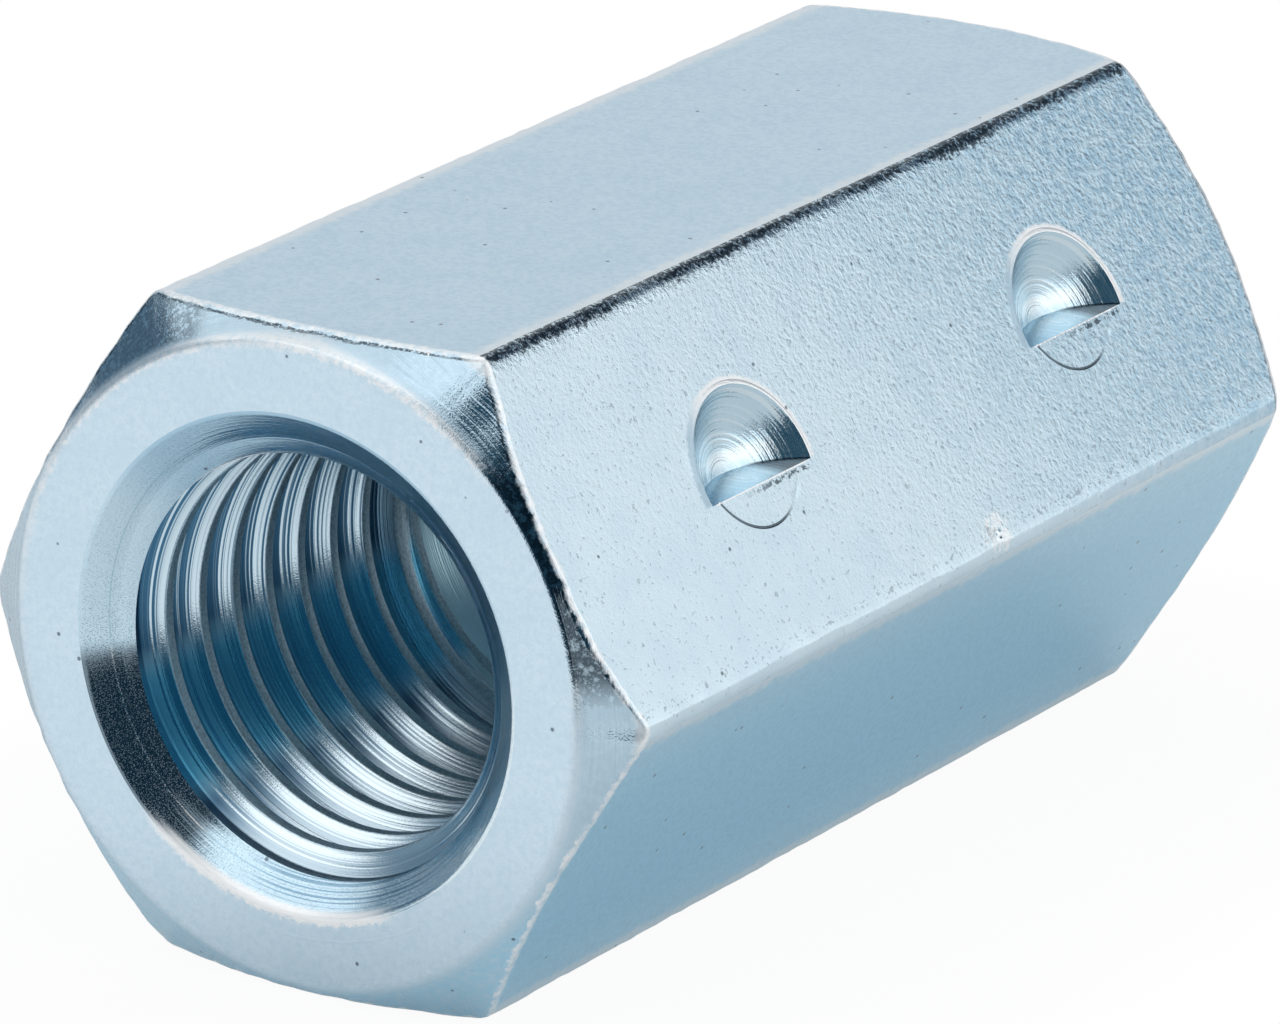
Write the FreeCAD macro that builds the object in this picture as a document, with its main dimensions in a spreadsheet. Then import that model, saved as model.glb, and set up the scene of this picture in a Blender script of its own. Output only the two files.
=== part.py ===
"""Hex turnbuckle body: one bar of hexagon steel, threaded from both ends, lying on one of its flats.

Frame: millimetres, +Z up. The bore runs along Y, and the origin is the centre of the body, on the bore axis.
The threads are too fine for this model, so the bore stands at the diameter of their crests.
"""
import FreeCAD, Part
import os
import Sketcher

NODE = "hex_body"

DIMENSIONS = {
    # the hexagon bar
    "across_flats": 24.0,
    "body_length": 45.0,
    "edge_radius": 0.4,
    # the turned ends
    "end_face_diameter": 23.1,
    "corner_bevel_depth": 1.65,
    # the bore, at the crests of an M16 thread
    "crest_diameter": 14.2,
    "countersink_diameter": 18.1,
    "countersink_depth": 1.4,
    "thread_reach": 18.0,
    "plain_middle_diameter": 14.6,
    # the two half-round dimples in one upper flat, each cut by a ball with a level floor
    "dimple_ball_radius": 4.13,
    "dimple_ball_out": 12.98,
    "dimple_ball_height": 6.91,
    "dimple_floor_height": 5.17,
    "dimple_first_place": -9.8,
    "dimple_spacing": 20.9,
}
SHEET = "Dimensions"
# Far enough out to clear the hexagon's corners, as a share of the across-flats
CLEAR_OF_CORNERS = 0.75

# Names of the two ends and the middle of a sketch's lines and arcs
START, END, MIDDLE = 1, 2, 3
# The sketch's own origin point and its upright axis
ROOT_POINT = (-1, 1)
UPRIGHT_AXIS = -2


def make_sheet(doc):
    """Write the driving dimensions to a spreadsheet, one named cell in each row."""
    sheet = doc.addObject("Spreadsheet::Sheet", SHEET)
    for row, (name, value) in enumerate(DIMENSIONS.items(), start=1):
        sheet.set(f"A{row}", name)
        sheet.set(f"B{row}", str(value))
        sheet.setAlias(f"B{row}", name)
    doc.recompute()


def origin_feature(body, role):
    """Find one of the body's own origin planes or axes by its role."""
    return next(item for item in body.Origin.OriginFeatures if item.Role == role)


def new_sketch(body, name, plane_role):
    """Add an empty sketch on one of the body's origin planes."""
    sketch = body.newObject("Sketcher::SketchObject", name)
    sketch.AttachmentSupport = (origin_feature(body, plane_role), "")
    sketch.MapMode = "FlatFace"
    return sketch


def add_chain(sketch, points):
    """Draw a closed chain of straight lines through the points, with its corners joined."""
    corners = [FreeCAD.Vector(across, up, 0) for across, up in points]
    lines = []
    for start, end in zip(corners, corners[1:] + corners[:1]):
        lines.append(sketch.addGeometry(Part.LineSegment(start, end), False))
    for line, following in zip(lines, lines[1:] + lines[:1]):
        sketch.addConstraint(Sketcher.Constraint("Coincident", line, END, following, START))
    return lines


def bind(sketch, kind, geometry, name, expression):
    """Add a named size to a sketch and bind it to the spreadsheet."""
    index = sketch.addConstraint(Sketcher.Constraint(kind, *geometry))
    sketch.renameConstraint(index, name)
    sketch.setExpression(f"Constraints.{name}", expression)


def removed_volume(doc, feature, base):
    """Recompute and give the volume that a feature took off its base; a cut that misses is an error."""
    doc.recompute()
    removed = base.Shape.Volume - feature.Shape.Volume
    if removed <= 0:
        raise ValueError(f"{feature.Name} cuts nothing")
    return removed


def add_bar(doc, body):
    """The hexagon bar, drawn about the bore axis with flats at top and bottom, and its rounded long edges."""
    across = DIMENSIONS["across_flats"]
    half_side = across / 12 ** 0.5
    section = new_sketch(body, "BarSection", "XZ_Plane")
    sides = add_chain(section, [
        (half_side, across / 2), (-half_side, across / 2), (-2 * half_side, 0),
        (-half_side, -across / 2), (half_side, -across / 2), (2 * half_side, 0),
    ])
    circle = Part.Circle(FreeCAD.Vector(0, 0, 0), FreeCAD.Vector(0, 0, 1), 2 * half_side)
    rim = section.addGeometry(circle, True)
    section.addConstraint(Sketcher.Constraint("Coincident", rim, MIDDLE, *ROOT_POINT))
    for side in sides:
        section.addConstraint(Sketcher.Constraint("PointOnObject", side, START, rim))
    for side in sides[1:]:
        section.addConstraint(Sketcher.Constraint("Equal", sides[0], side))
    section.addConstraint(Sketcher.Constraint("Horizontal", sides[0]))
    bind(section, "Radius", (rim, 2 * half_side), "corner_circle", f"{SHEET}.across_flats / sqrt(3)")

    bar = body.newObject("PartDesign::Pad", "Bar")
    bar.Profile = section
    bar.SideType = "Symmetric"
    bar.setExpression("Length", f"{SHEET}.body_length")
    doc.recompute()

    long_edges = [
        f"Edge{number}" for number, edge in enumerate(bar.Shape.Edges, start=1)
        if abs(edge.tangentAt(edge.FirstParameter).y) > 0.99
    ]
    rounding = body.newObject("PartDesign::Fillet", "LongEdges")
    rounding.Base = (bar, long_edges)
    rounding.setExpression("Radius", f"{SHEET}.edge_radius")
    removed_volume(doc, rounding, bar)
    return rounding


def add_bore(doc, body, base):
    """The straight bore from end to end."""
    section = new_sketch(body, "BoreSection", "XZ_Plane")
    radius = DIMENSIONS["crest_diameter"] / 2
    rim = section.addGeometry(Part.Circle(FreeCAD.Vector(0, 0, 0), FreeCAD.Vector(0, 0, 1), radius), False)
    section.addConstraint(Sketcher.Constraint("Coincident", rim, MIDDLE, *ROOT_POINT))
    bind(section, "Diameter", (rim, 2 * radius), "bore", f"{SHEET}.crest_diameter")
    bore = body.newObject("PartDesign::Pocket", "Bore")
    bore.Profile = section
    bore.Type = "ThroughAll"
    bore.SideType = "Symmetric"
    removed_volume(doc, bore, base)
    return bore


def add_plain_middle(doc, body, base):
    """The short unthreaded stretch in the middle, bored a little wider than the thread crests."""
    half_length = DIMENSIONS["body_length"] / 2 - DIMENSIONS["thread_reach"]
    radius = DIMENSIONS["plain_middle_diameter"] / 2
    profile = new_sketch(body, "PlainMiddleProfile", "XY_Plane")
    near, wall, far, core = add_chain(profile, [
        (0, -half_length), (radius, -half_length), (radius, half_length), (0, half_length),
    ])
    for line in (near, far):
        profile.addConstraint(Sketcher.Constraint("Horizontal", line))
    for line in (wall, core):
        profile.addConstraint(Sketcher.Constraint("Vertical", line))
    profile.addConstraint(Sketcher.Constraint("PointOnObject", core, START, UPRIGHT_AXIS))
    radius_rule = f"{SHEET}.plain_middle_diameter / 2"
    reach_rule = f"{SHEET}.body_length / 2 - {SHEET}.thread_reach"
    bind(profile, "DistanceX", (*ROOT_POINT, wall, START, radius), "radius", radius_rule)
    bind(profile, "DistanceY", (near, START, *ROOT_POINT, half_length), "near_reach", reach_rule)
    bind(profile, "DistanceY", (*ROOT_POINT, far, START, half_length), "far_reach", reach_rule)
    middle = body.newObject("PartDesign::Groove", "PlainMiddle")
    middle.Profile = profile
    middle.ReferenceAxis = (origin_feature(body, "Y_Axis"), [""])
    removed_volume(doc, middle, base)
    return middle


def add_end_groove(doc, body, base, name, inner, outer, depth_at):
    """A cone turned off the near end, about the bore axis.

    The cut is a triangle with its base on the end face, from radius inner to radius outer. depth_at says
    which of the two radii carries the full depth. Each size is a pair of a value and its expression.
    """
    end = -DIMENSIONS["body_length"] / 2
    (inner_size, inner_rule), (outer_size, outer_rule) = inner, outer
    deep_size, depth, depth_rule = depth_at
    profile = new_sketch(body, name + "Profile", "XY_Plane")
    lines = add_chain(profile, [(inner_size, end), (outer_size, end), (deep_size, end + depth)])
    profile.addConstraint(Sketcher.Constraint("Horizontal", lines[0]))
    deep_line = lines[1] if deep_size == outer_size else lines[2]
    profile.addConstraint(Sketcher.Constraint("Vertical", deep_line))
    end_rule = f"{SHEET}.body_length / 2"
    bind(profile, "DistanceY", (lines[0], START, *ROOT_POINT, -end), "half_length", end_rule)
    bind(profile, "DistanceX", (*ROOT_POINT, lines[0], START, inner_size), "inner", inner_rule)
    bind(profile, "DistanceX", (*ROOT_POINT, lines[0], END, outer_size), "outer", outer_rule)
    bind(profile, "DistanceY", (lines[0], START, lines[1], END, depth), "depth", depth_rule)
    groove = body.newObject("PartDesign::Groove", name)
    groove.Profile = profile
    groove.ReferenceAxis = (origin_feature(body, "Y_Axis"), [""])
    removed_volume(doc, groove, base)
    return groove


def add_ends(doc, body, base):
    """Bevelled corners and a countersink at the near end, mirrored to the far end."""
    across = DIMENSIONS["across_flats"]
    face_radius = DIMENSIONS["end_face_diameter"] / 2
    corner_radius = across / 3 ** 0.5
    clear_radius = across * CLEAR_OF_CORNERS
    slope = DIMENSIONS["corner_bevel_depth"] / (corner_radius - face_radius)
    slope_rule = (
        f"{SHEET}.corner_bevel_depth / ({SHEET}.across_flats / sqrt(3) - {SHEET}.end_face_diameter / 2)"
    )
    clear_rule = f"{SHEET}.across_flats * {CLEAR_OF_CORNERS}"
    bevel = add_end_groove(
        doc, body, base, "CornerBevel",
        (face_radius, f"{SHEET}.end_face_diameter / 2"),
        (clear_radius, clear_rule),
        (clear_radius, slope * (clear_radius - face_radius),
         f"{slope_rule} * ({clear_rule} - {SHEET}.end_face_diameter / 2)"),
    )
    crest_radius = DIMENSIONS["crest_diameter"] / 2
    countersink = add_end_groove(
        doc, body, bevel, "Countersink",
        (crest_radius, f"{SHEET}.crest_diameter / 2"),
        (DIMENSIONS["countersink_diameter"] / 2, f"{SHEET}.countersink_diameter / 2"),
        (crest_radius, DIMENSIONS["countersink_depth"], f"{SHEET}.countersink_depth"),
    )
    both_ends = body.newObject("PartDesign::Mirrored", "BothEnds")
    both_ends.Originals = [bevel, countersink]
    both_ends.MirrorPlane = (origin_feature(body, "XZ_Plane"), [""])
    body.Tip = both_ends
    removed_volume(doc, both_ends, countersink)
    return both_ends


def add_dimples(doc, body, base):
    """Two half-round dimples in the upper right flat.

    Each is the part of a ball that lies above a level floor. The ball stands off the flat, so it leaves a
    round rim. The floor runs out through the flat, so it leaves a straight lower rim parallel to the bore.
    """
    radius = DIMENSIONS["dimple_ball_radius"]
    out = DIMENSIONS["dimple_ball_out"]
    height = DIMENSIONS["dimple_ball_height"]
    floor = DIMENSIONS["dimple_floor_height"]
    floor_reach = (radius ** 2 - (height - floor) ** 2) ** 0.5

    profile = new_sketch(body, "DimpleProfile", "XZ_Plane")
    profile.setExpression("AttachmentOffset.Base.z", f"-{SHEET}.dimple_first_place")
    top_point = FreeCAD.Vector(out, height + radius, 0)
    side_point = FreeCAD.Vector(out + radius, height, 0)
    rim_point = FreeCAD.Vector(out + floor_reach, floor, 0)
    foot_point = FreeCAD.Vector(out, floor, 0)
    ball = profile.addGeometry(Part.Arc(rim_point, side_point, top_point), False)
    stem = profile.addGeometry(Part.LineSegment(top_point, foot_point), False)
    level = profile.addGeometry(Part.LineSegment(foot_point, rim_point), False)
    axis = profile.addGeometry(Part.LineSegment(foot_point, top_point), True)
    for first, second in (((ball, END), (stem, START)), ((stem, END), (level, START)),
                          ((level, END), (ball, START)), ((axis, START), (stem, END)),
                          ((axis, END), (stem, START))):
        profile.addConstraint(Sketcher.Constraint("Coincident", *first, *second))
    profile.addConstraint(Sketcher.Constraint("Vertical", stem))
    profile.addConstraint(Sketcher.Constraint("Horizontal", level))
    profile.addConstraint(Sketcher.Constraint("PointOnObject", ball, MIDDLE, stem))
    for kind, geometry, name in (
        ("Radius", (ball, radius), "ball_radius"),
        ("DistanceX", (*ROOT_POINT, ball, MIDDLE, out), "ball_out"),
        ("DistanceY", (*ROOT_POINT, ball, MIDDLE, height), "ball_height"),
        ("DistanceY", (*ROOT_POINT, level, START, floor), "floor_height"),
    ):
        bind(profile, kind, geometry, name, f"{SHEET}.dimple_{name}")

    dimple = body.newObject("PartDesign::Groove", "Dimple")
    dimple.Profile = profile
    dimple.ReferenceAxis = (profile, ["Axis0"])
    one_dimple = removed_volume(doc, dimple, base)

    row = body.newObject("PartDesign::LinearPattern", "DimpleRow")
    row.Originals = [dimple]
    row.Direction = (origin_feature(body, "Y_Axis"), [""])
    row.Occurrences = 2
    row.setExpression("Length", f"{SHEET}.dimple_spacing")
    body.Tip = row
    second_dimple = removed_volume(doc, row, dimple)
    print(f"dimples take {one_dimple:.2f} and {second_dimple:.2f} cubic millimetres")
    return row


def check(doc, body):
    """Stop if any object failed or the finished body isn't one sound solid."""
    failed = [item.Name for item in doc.Objects if {"Invalid", "Error"} & set(item.State)]
    if failed:
        raise ValueError(f"failed objects: {failed}")
    shape = body.Shape
    if shape.isNull() or not shape.isValid() or len(shape.Solids) != 1:
        raise ValueError("the body isn't one valid solid")


def main():
    doc = FreeCAD.newDocument("HexTurnbuckleBody")
    make_sheet(doc)
    body = doc.addObject("PartDesign::Body", "HexBody")
    body.Label = NODE
    bar = add_bar(doc, body)
    bore = add_bore(doc, body, bar)
    middle = add_plain_middle(doc, body, bore)
    ends = add_ends(doc, body, middle)
    add_dimples(doc, body, ends)
    doc.recompute()
    check(doc, body)
    os.makedirs("parts", exist_ok=True)
    body.Shape.exportStep(f"parts/{body.Label}.step")
    box = body.Shape.optimalBoundingBox(False)
    print(f"{body.Label}: {box.XLength:.2f} x {box.YLength:.2f} x {box.ZLength:.2f} mm, "
          f"{body.Shape.Volume:.0f} cubic millimetres")


main()
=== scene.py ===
"""Looks of the hex turnbuckle body: hexagon bar, turned, tapped from both ends, dimpled and zinc plated.

Metres, in the part's own frame: +Z up, the bore along Y, the origin at the centre of the body on the bore
axis. The piece is one closed mesh. The bar is drawn out row by row from a hexagon section with worn edges,
and the countersinks, threads, plain middle, dimples and scribed arcs are cut out of it as solids.
"""
import logging
import math
from dataclasses import dataclass
from enum import Enum, IntEnum
from typing import Any, Iterable, Sequence, Union

import bmesh
import bpy
from mathutils import Matrix, Vector, noise


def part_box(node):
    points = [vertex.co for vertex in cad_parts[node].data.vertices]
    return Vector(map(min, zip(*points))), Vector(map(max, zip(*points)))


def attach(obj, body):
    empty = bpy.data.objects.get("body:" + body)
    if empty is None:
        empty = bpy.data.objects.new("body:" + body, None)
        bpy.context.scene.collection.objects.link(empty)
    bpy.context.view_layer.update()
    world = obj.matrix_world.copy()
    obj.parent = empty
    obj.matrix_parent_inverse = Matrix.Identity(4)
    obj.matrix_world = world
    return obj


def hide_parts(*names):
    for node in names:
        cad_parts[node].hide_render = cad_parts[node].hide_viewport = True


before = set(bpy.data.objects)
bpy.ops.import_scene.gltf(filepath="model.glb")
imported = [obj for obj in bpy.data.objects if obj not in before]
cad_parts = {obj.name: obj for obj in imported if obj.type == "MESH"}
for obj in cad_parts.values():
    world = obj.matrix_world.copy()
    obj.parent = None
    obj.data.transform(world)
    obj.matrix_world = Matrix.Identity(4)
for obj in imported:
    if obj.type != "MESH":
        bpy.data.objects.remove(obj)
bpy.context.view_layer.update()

LOG = logging.getLogger("hex_turnbuckle_body")
MM = 0.001
NODE = "hex_body"
BORE_AXIS = Vector((0.0, 1.0, 0.0))
INSIDE = 0.001 * MM
Colour = tuple[float, float, float]


class Region(IntEnum):
    """Parts of the skin that leave the shop with a finish of their own, in order of material slots."""

    ROLLED_FLAT = 0
    GRIT_FLAT = 1
    TURNED_END = 2
    COUNTERSINK = 3
    THREAD = 4
    PLAIN_MIDDLE = 5
    DIMPLE = 6


class Cut(Enum):
    """How a second solid changes the body."""

    AWAY = "DIFFERENCE"
    ONTO = "UNION"


class Zone(Enum):
    """Stretch of the bar's skin that a row of its mesh belongs to, from the middle of an end outwards."""

    CORE = "core"
    FACE_ROUND = "face round"
    BEVEL = "bevel"
    RIM_ROUND = "rim round"
    FLAT = "flat"


@dataclass(frozen=True)
class Row:
    """One ring of vertices round the bar: its zone, how far through it, and the end (-1 near, 1 far)."""

    zone: Zone
    share: float
    end: int


def smooth_share(value: float) -> float:
    """Ease a value from 0 to 1, flat outside that range."""
    share = min(max(value, 0.0), 1.0)
    return share * share * (3.0 - 2.0 * share)


def new_object(name: str, bm: bmesh.types.BMesh) -> bpy.types.Object:
    """Turn a finished bmesh into an object at the origin.

    Args:
        name: Name of the object and its mesh.
        bm: The bmesh, freed here.

    Returns:
        The linked object.
    """
    mesh = bpy.data.meshes.new(name)
    bm.to_mesh(mesh)
    bm.free()
    piece = bpy.data.objects.new(name, mesh)
    bpy.context.scene.collection.objects.link(piece)
    return piece


def close_up(bm: bmesh.types.BMesh, region: Region, weld: float = 1e-7) -> None:
    """Weld a cutter's doubles, turn its faces outwards and mark them with the finish they leave.

    Args:
        bm: The cutter's bmesh.
        region: Finish of the surface that the cutter leaves.
        weld: Distance under which vertices are merged.
    """
    bmesh.ops.remove_doubles(bm, verts=bm.verts[:], dist=weld)
    bmesh.ops.recalc_face_normals(bm, faces=bm.faces[:])
    for face in bm.faces:
        face.material_index = region


def apply_cut(body: bpy.types.Object, tool: bpy.types.Object, how: Cut) -> None:
    """Cut a solid out of the body, or join it on, and remove the tool.

    Args:
        body: Object whose mesh is replaced.
        tool: Closed solid, deleted afterwards.
        how: Cut away or join on.
    """
    step = body.modifiers.new(tool.name, "BOOLEAN")
    step.operation = how.value
    step.solver = "MANIFOLD"
    step.object = tool
    bpy.context.view_layer.update()
    evaluated = body.evaluated_get(bpy.context.evaluated_depsgraph_get())
    mesh = bpy.data.meshes.new_from_object(evaluated)
    body.modifiers.remove(step)
    worn = body.data
    body.data = mesh
    bpy.data.meshes.remove(worn)
    mesh.name = body.name
    tool_mesh = tool.data
    bpy.data.objects.remove(tool)
    bpy.data.meshes.remove(tool_mesh)


def chain(bm: bmesh.types.BMesh, points: Iterable[tuple[float, float]]) -> list[bmesh.types.BMEdge]:
    """Draw an open chain in the plane of the bore axis.

    Args:
        bm: Where the chain is drawn.
        points: Pairs of radius and place along the bore.

    Returns:
        The chain's edges, in order.
    """
    verts = [bm.verts.new((radius, along, 0.0)) for radius, along in points]
    return [bm.edges.new(pair) for pair in zip(verts, verts[1:])]


def turn_solid(bm: bmesh.types.BMesh, edges: Sequence[bmesh.types.BMEdge], steps: int) -> None:
    """Spin a chain that starts and ends on the bore axis into a closed turned solid."""
    verts = list({vert for edge in edges for vert in edge.verts})
    bmesh.ops.spin(bm, geom=verts + list(edges), cent=(0, 0, 0), axis=BORE_AXIS, angle=math.tau, steps=steps,
                   use_merge=True)


def make_ring(bm: bmesh.types.BMesh, major: float, minor: float, steps: int, sides: int) -> None:
    """Spin a small circle into a closed ring about Z.

    Args:
        bm: Where the ring is made.
        major: Radius of the ring's middle line.
        minor: Radius of its round section.
        steps: Steps round the ring.
        sides: Sides of the section.
    """
    upright = Matrix.Translation((major, 0, 0)) @ Matrix.Rotation(math.pi / 2, 4, "X")
    made = bmesh.ops.create_circle(bm, cap_ends=False, radius=minor, segments=sides, matrix=upright)
    edges = list({edge for vert in made["verts"] for edge in vert.link_edges})
    bmesh.ops.spin(bm, geom=made["verts"] + edges, cent=(0, 0, 0), axis=(0, 0, 1), angle=math.tau,
                   steps=steps, use_merge=True)


def only(made: Iterable[Any], kind: type) -> list[Any]:
    """Keep the vertices, edges or faces among the parts that an operator has made."""
    return [part for part in made if isinstance(part, kind)]


def open_rims(bm: bmesh.types.BMesh) -> list[bmesh.types.BMEdge]:
    """List the edges where a mesh is still open."""
    return [edge for edge in bm.edges if edge.is_boundary]


def cut_level(bm: bmesh.types.BMesh, height: float) -> None:
    """Cut a solid off level, keep what is above and close it again."""
    bmesh.ops.bisect_plane(bm, geom=bm.verts[:] + bm.edges[:] + bm.faces[:], plane_co=(0, 0, height),
                           plane_no=(0, 0, 1), clear_inner=True)
    bmesh.ops.holes_fill(bm, edges=open_rims(bm), sides=0)


@dataclass(frozen=True)
class RimKnock:
    """A stretch of the near rim that was turned deeper or shallower, by degrees from +X towards +Z."""

    bearing: float
    half_width: float
    depth: float

    def depth_at(self, bearing: float) -> float:
        """How far the knock moves the rim along the bar at a bearing."""
        return self.depth * max(0.0, 1 - ((bearing - self.bearing) / self.half_width) ** 2)


@dataclass
class HexBar:
    """The bevelled hexagon bar, with worn edges and without its bore."""

    across_flats: float
    length: float
    edge_round: float = 0.6 * MM
    face_radius: float = 11.55 * MM
    bevel_depth: float = 1.65 * MM
    core_radius: float = 5.0 * MM
    core_share: float = 0.95
    face_round: float = 0.5 * MM
    face_round_room: float = 0.85
    bevel_rows: tuple[float, ...] = (0.06, 0.35, 0.65, 0.94)
    rim_round: float = 0.32 * MM
    rim_unevenness: float = 0.5
    rim_uneven_run: float = 1.1 * MM
    rim_wander: float = 0.11 * MM
    rim_wander_run: float = 0.9 * MM
    rim_knocks: tuple[RimKnock, ...] = (RimKnock(90, 30, 0.75 * MM), RimKnock(6, 20, -0.38 * MM))
    edge_wear: float = 0.05 * MM
    edge_wear_run: float = 0.8 * MM
    edge_wear_mean: float = 0.4
    coarse_wear: float = 0.7
    fine_wear: float = 0.4
    fine_wear_run: float = 0.28 * MM
    worn_share: float = 0.5
    flat_columns: int = 32
    edge_segments: int = 8
    flat_rows: int = 76
    flat_border: float = 0.001
    round_rows: int = 6

    @property
    def corner_radius(self) -> float:
        """Distance of the sharp hexagon's corners from the bore axis."""
        return self.across_flats / math.sqrt(3)

    @property
    def bevel_angle(self) -> float:
        """Angle between the end plane and the turned bevel."""
        return math.atan2(self.bevel_depth, self.corner_radius - self.face_radius)

    def rows(self) -> list[Row]:
        """List the rows of the skin from the near end to the far end."""
        rounds = [step / self.round_rows for step in range(self.round_rows + 1)]
        shares = {
            Zone.CORE: (0.0, self.core_share), Zone.FACE_ROUND: rounds, Zone.BEVEL: self.bevel_rows,
            Zone.RIM_ROUND: rounds,
        }
        near = [Row(zone, share, -1) for zone in shares for share in shares[zone]]
        far = [Row(row.zone, row.share, 1) for row in reversed(near)]
        inner = [step / self.flat_rows for step in range(1, self.flat_rows)]
        flats = [Row(Zone.FLAT, share, -1) for share in (self.flat_border, *inner, 1 - self.flat_border)]
        return near + flats + far

    def section(self, bm: bmesh.types.BMesh) -> list[bmesh.types.BMEdge]:
        """Draw the hexagon section with rounded corners.

        Args:
            bm: Where the section is drawn, upright across the bore axis.

        Returns:
            The closed ring of edges.
        """
        upright = Matrix.Rotation(math.pi / 2, 4, "X") @ Matrix.Rotation(-math.pi / 2, 4, "Z")
        bmesh.ops.create_circle(bm, cap_ends=True, radius=self.corner_radius, segments=6, matrix=upright)
        reach = self.edge_round * math.tan(math.pi / 6)
        bmesh.ops.bevel(bm, geom=bm.verts[:], offset=reach, offset_type="OFFSET", affect="VERTICES",
                        segments=self.edge_segments, profile=0.5, material=-1)
        bmesh.ops.delete(bm, geom=bm.faces[:], context="FACES_ONLY")
        sides = [edge for edge in bm.edges if edge.calc_length() > 2 * self.edge_round]
        bmesh.ops.subdivide_edges(bm, edges=sides, cuts=self.flat_columns - 1)
        return bm.edges[:]

    def wear(self, place: Vector) -> float:
        """How far knocks have pushed a long edge in at a place, from 0 to 1."""
        coarse = noise.noise(place / self.edge_wear_run)
        fine = noise.noise(place / self.fine_wear_run)
        return min(max(self.edge_wear_mean + self.coarse_wear * coarse + self.fine_wear * fine, 0.0), 1.0)

    def rim(self, direction: Vector, end: int) -> tuple[float, float]:
        """Measure the rim of a bevel, which knocks and the tool have left uneven.

        Args:
            direction: Unit vector from the bore axis towards a place on the rim.
            end: -1 for the near end, 1 for the far end.

        Returns:
            How far the rim is moved along the bar, and the radius of its rounding.
        """
        spot = direction * self.corner_radius + BORE_AXIS * end * self.length / 2
        moved = self.rim_wander * noise.noise(spot / self.rim_wander_run)
        if end < 0:
            bearing = math.degrees(math.atan2(direction.z, direction.x))
            moved += sum(knock.depth_at(bearing) for knock in self.rim_knocks)
        return moved, self.rim_round * (1 + self.rim_unevenness * noise.noise(spot / self.rim_uneven_run))

    def bevel_place(self, radius: float, row: Row, moved: float, rim_round: float) -> tuple[float, float]:
        """Work out where a row of an end lies.

        Args:
            radius: Distance of the hexagon section from the bore axis.
            row: The row, in any zone but the flat.
            moved: How far the rim is moved along the bar.
            rim_round: Radius of the rim's rounding.

        Returns:
            Distance from the bore axis, and depth from the end plane.
        """
        angle = self.bevel_angle
        stop = radius - rim_round * (1 - math.sin(angle))
        room = self.face_round_room * (stop - self.face_radius)
        face_round = min(self.face_round, room / (math.sin(angle) - math.tan(angle / 2)))
        face_edge = self.face_radius - face_round * math.tan(angle / 2)
        if row.zone is Zone.CORE:
            return self.core_radius + row.share * (face_edge - self.core_radius), 0.0
        if row.zone is Zone.FACE_ROUND:
            turn = angle * row.share
            return face_edge + face_round * math.sin(turn), face_round * (1 - math.cos(turn))
        if row.zone is Zone.BEVEL:
            start = face_edge + face_round * math.sin(angle)
            out = start + row.share * (stop - start)
            return out, math.tan(angle) * (out - self.face_radius) + row.share * moved
        turn = angle + (math.pi / 2 - angle) * row.share
        rim_reach = rim_round * math.tan((math.pi / 2 - angle) / 2)
        rim_depth = math.tan(angle) * (radius - self.face_radius) + moved
        return radius - rim_round * (1 - math.sin(turn)), rim_depth + rim_reach - rim_round * math.cos(turn)

    def place(self, section: Vector, row: Row) -> Vector:
        """Work out where one vertex of a row lies.

        Args:
            section: The vertex's point on the hexagon section.
            row: The row that it belongs to.

        Returns:
            Its place on the worn bar.
        """
        radius = section.length
        direction = section / radius
        half = self.length / 2
        if row.zone is Zone.FLAT:
            near, far = (self.bevel_place(radius, Row(Zone.RIM_ROUND, 1.0, end), *self.rim(direction, end))[1]
                         for end in (-1, 1))
            out = radius
            along = near - half + row.share * (self.length - near - far)
        else:
            out, depth = self.bevel_place(radius, row, *self.rim(direction, row.end))
            along = row.end * (half - depth)
        flat_corner = math.hypot(self.across_flats / 2, self.corner_radius / 2 - self.edge_round)
        worn_reach = self.worn_share * (self.corner_radius - flat_corner)
        on_edge = smooth_share((radius - flat_corner) / worn_reach)
        if row.zone in (Zone.RIM_ROUND, Zone.FLAT):
            out -= self.edge_wear * on_edge * self.wear(direction * radius + BORE_AXIS * along)
        return direction * out + BORE_AXIS * along

    def region(self, face: bmesh.types.BMFace, row: Row) -> Region:
        """Choose the finish of a face: turned at the ends, grit on the dimpled flat, rolled on the others."""
        on_flat = row.zone is Zone.FLAT or (row.zone is Zone.RIM_ROUND and row.share == 1.0)
        if not on_flat:
            return Region.TURNED_END
        middle = face.calc_center_median()
        bearing = math.degrees(math.atan2(middle.z, middle.x))
        flat_span, edge_reach = 60.0, 1.2
        return Region.GRIT_FLAT if -edge_reach < bearing < flat_span + edge_reach else Region.ROLLED_FLAT

    def build(self, name: str) -> bpy.types.Object:
        """Draw the bar out row by row and close its two ends.

        Args:
            name: Name of the object.

        Returns:
            The closed bar, without its bore.
        """
        bm = bmesh.new()
        ring = self.section(bm)
        drawn_from = bm.verts.layers.float_vector.new("section")
        for vert in bm.verts:
            vert[drawn_from] = vert.co
        for number, row in enumerate(self.rows()):
            if number:
                made = bmesh.ops.extrude_edge_only(bm, edges=ring)["geom"]
                verts, faces = only(made, bmesh.types.BMVert), only(made, bmesh.types.BMFace)
                drawn = set(verts)
                ring = [edge for edge in only(made, bmesh.types.BMEdge) if drawn.issuperset(edge.verts)]
            else:
                verts, faces = bm.verts[:], []
            for vert in verts:
                vert.co = self.place(vert[drawn_from], row)
            for face in faces:
                face.material_index = self.region(face, row)
        for face in bmesh.ops.holes_fill(bm, edges=open_rims(bm), sides=0)["faces"]:
            face.material_index = Region.TURNED_END
        bm.verts.layers.float_vector.remove(drawn_from)
        bmesh.ops.recalc_face_normals(bm, faces=bm.faces[:])
        return new_object(name, bm)


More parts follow.
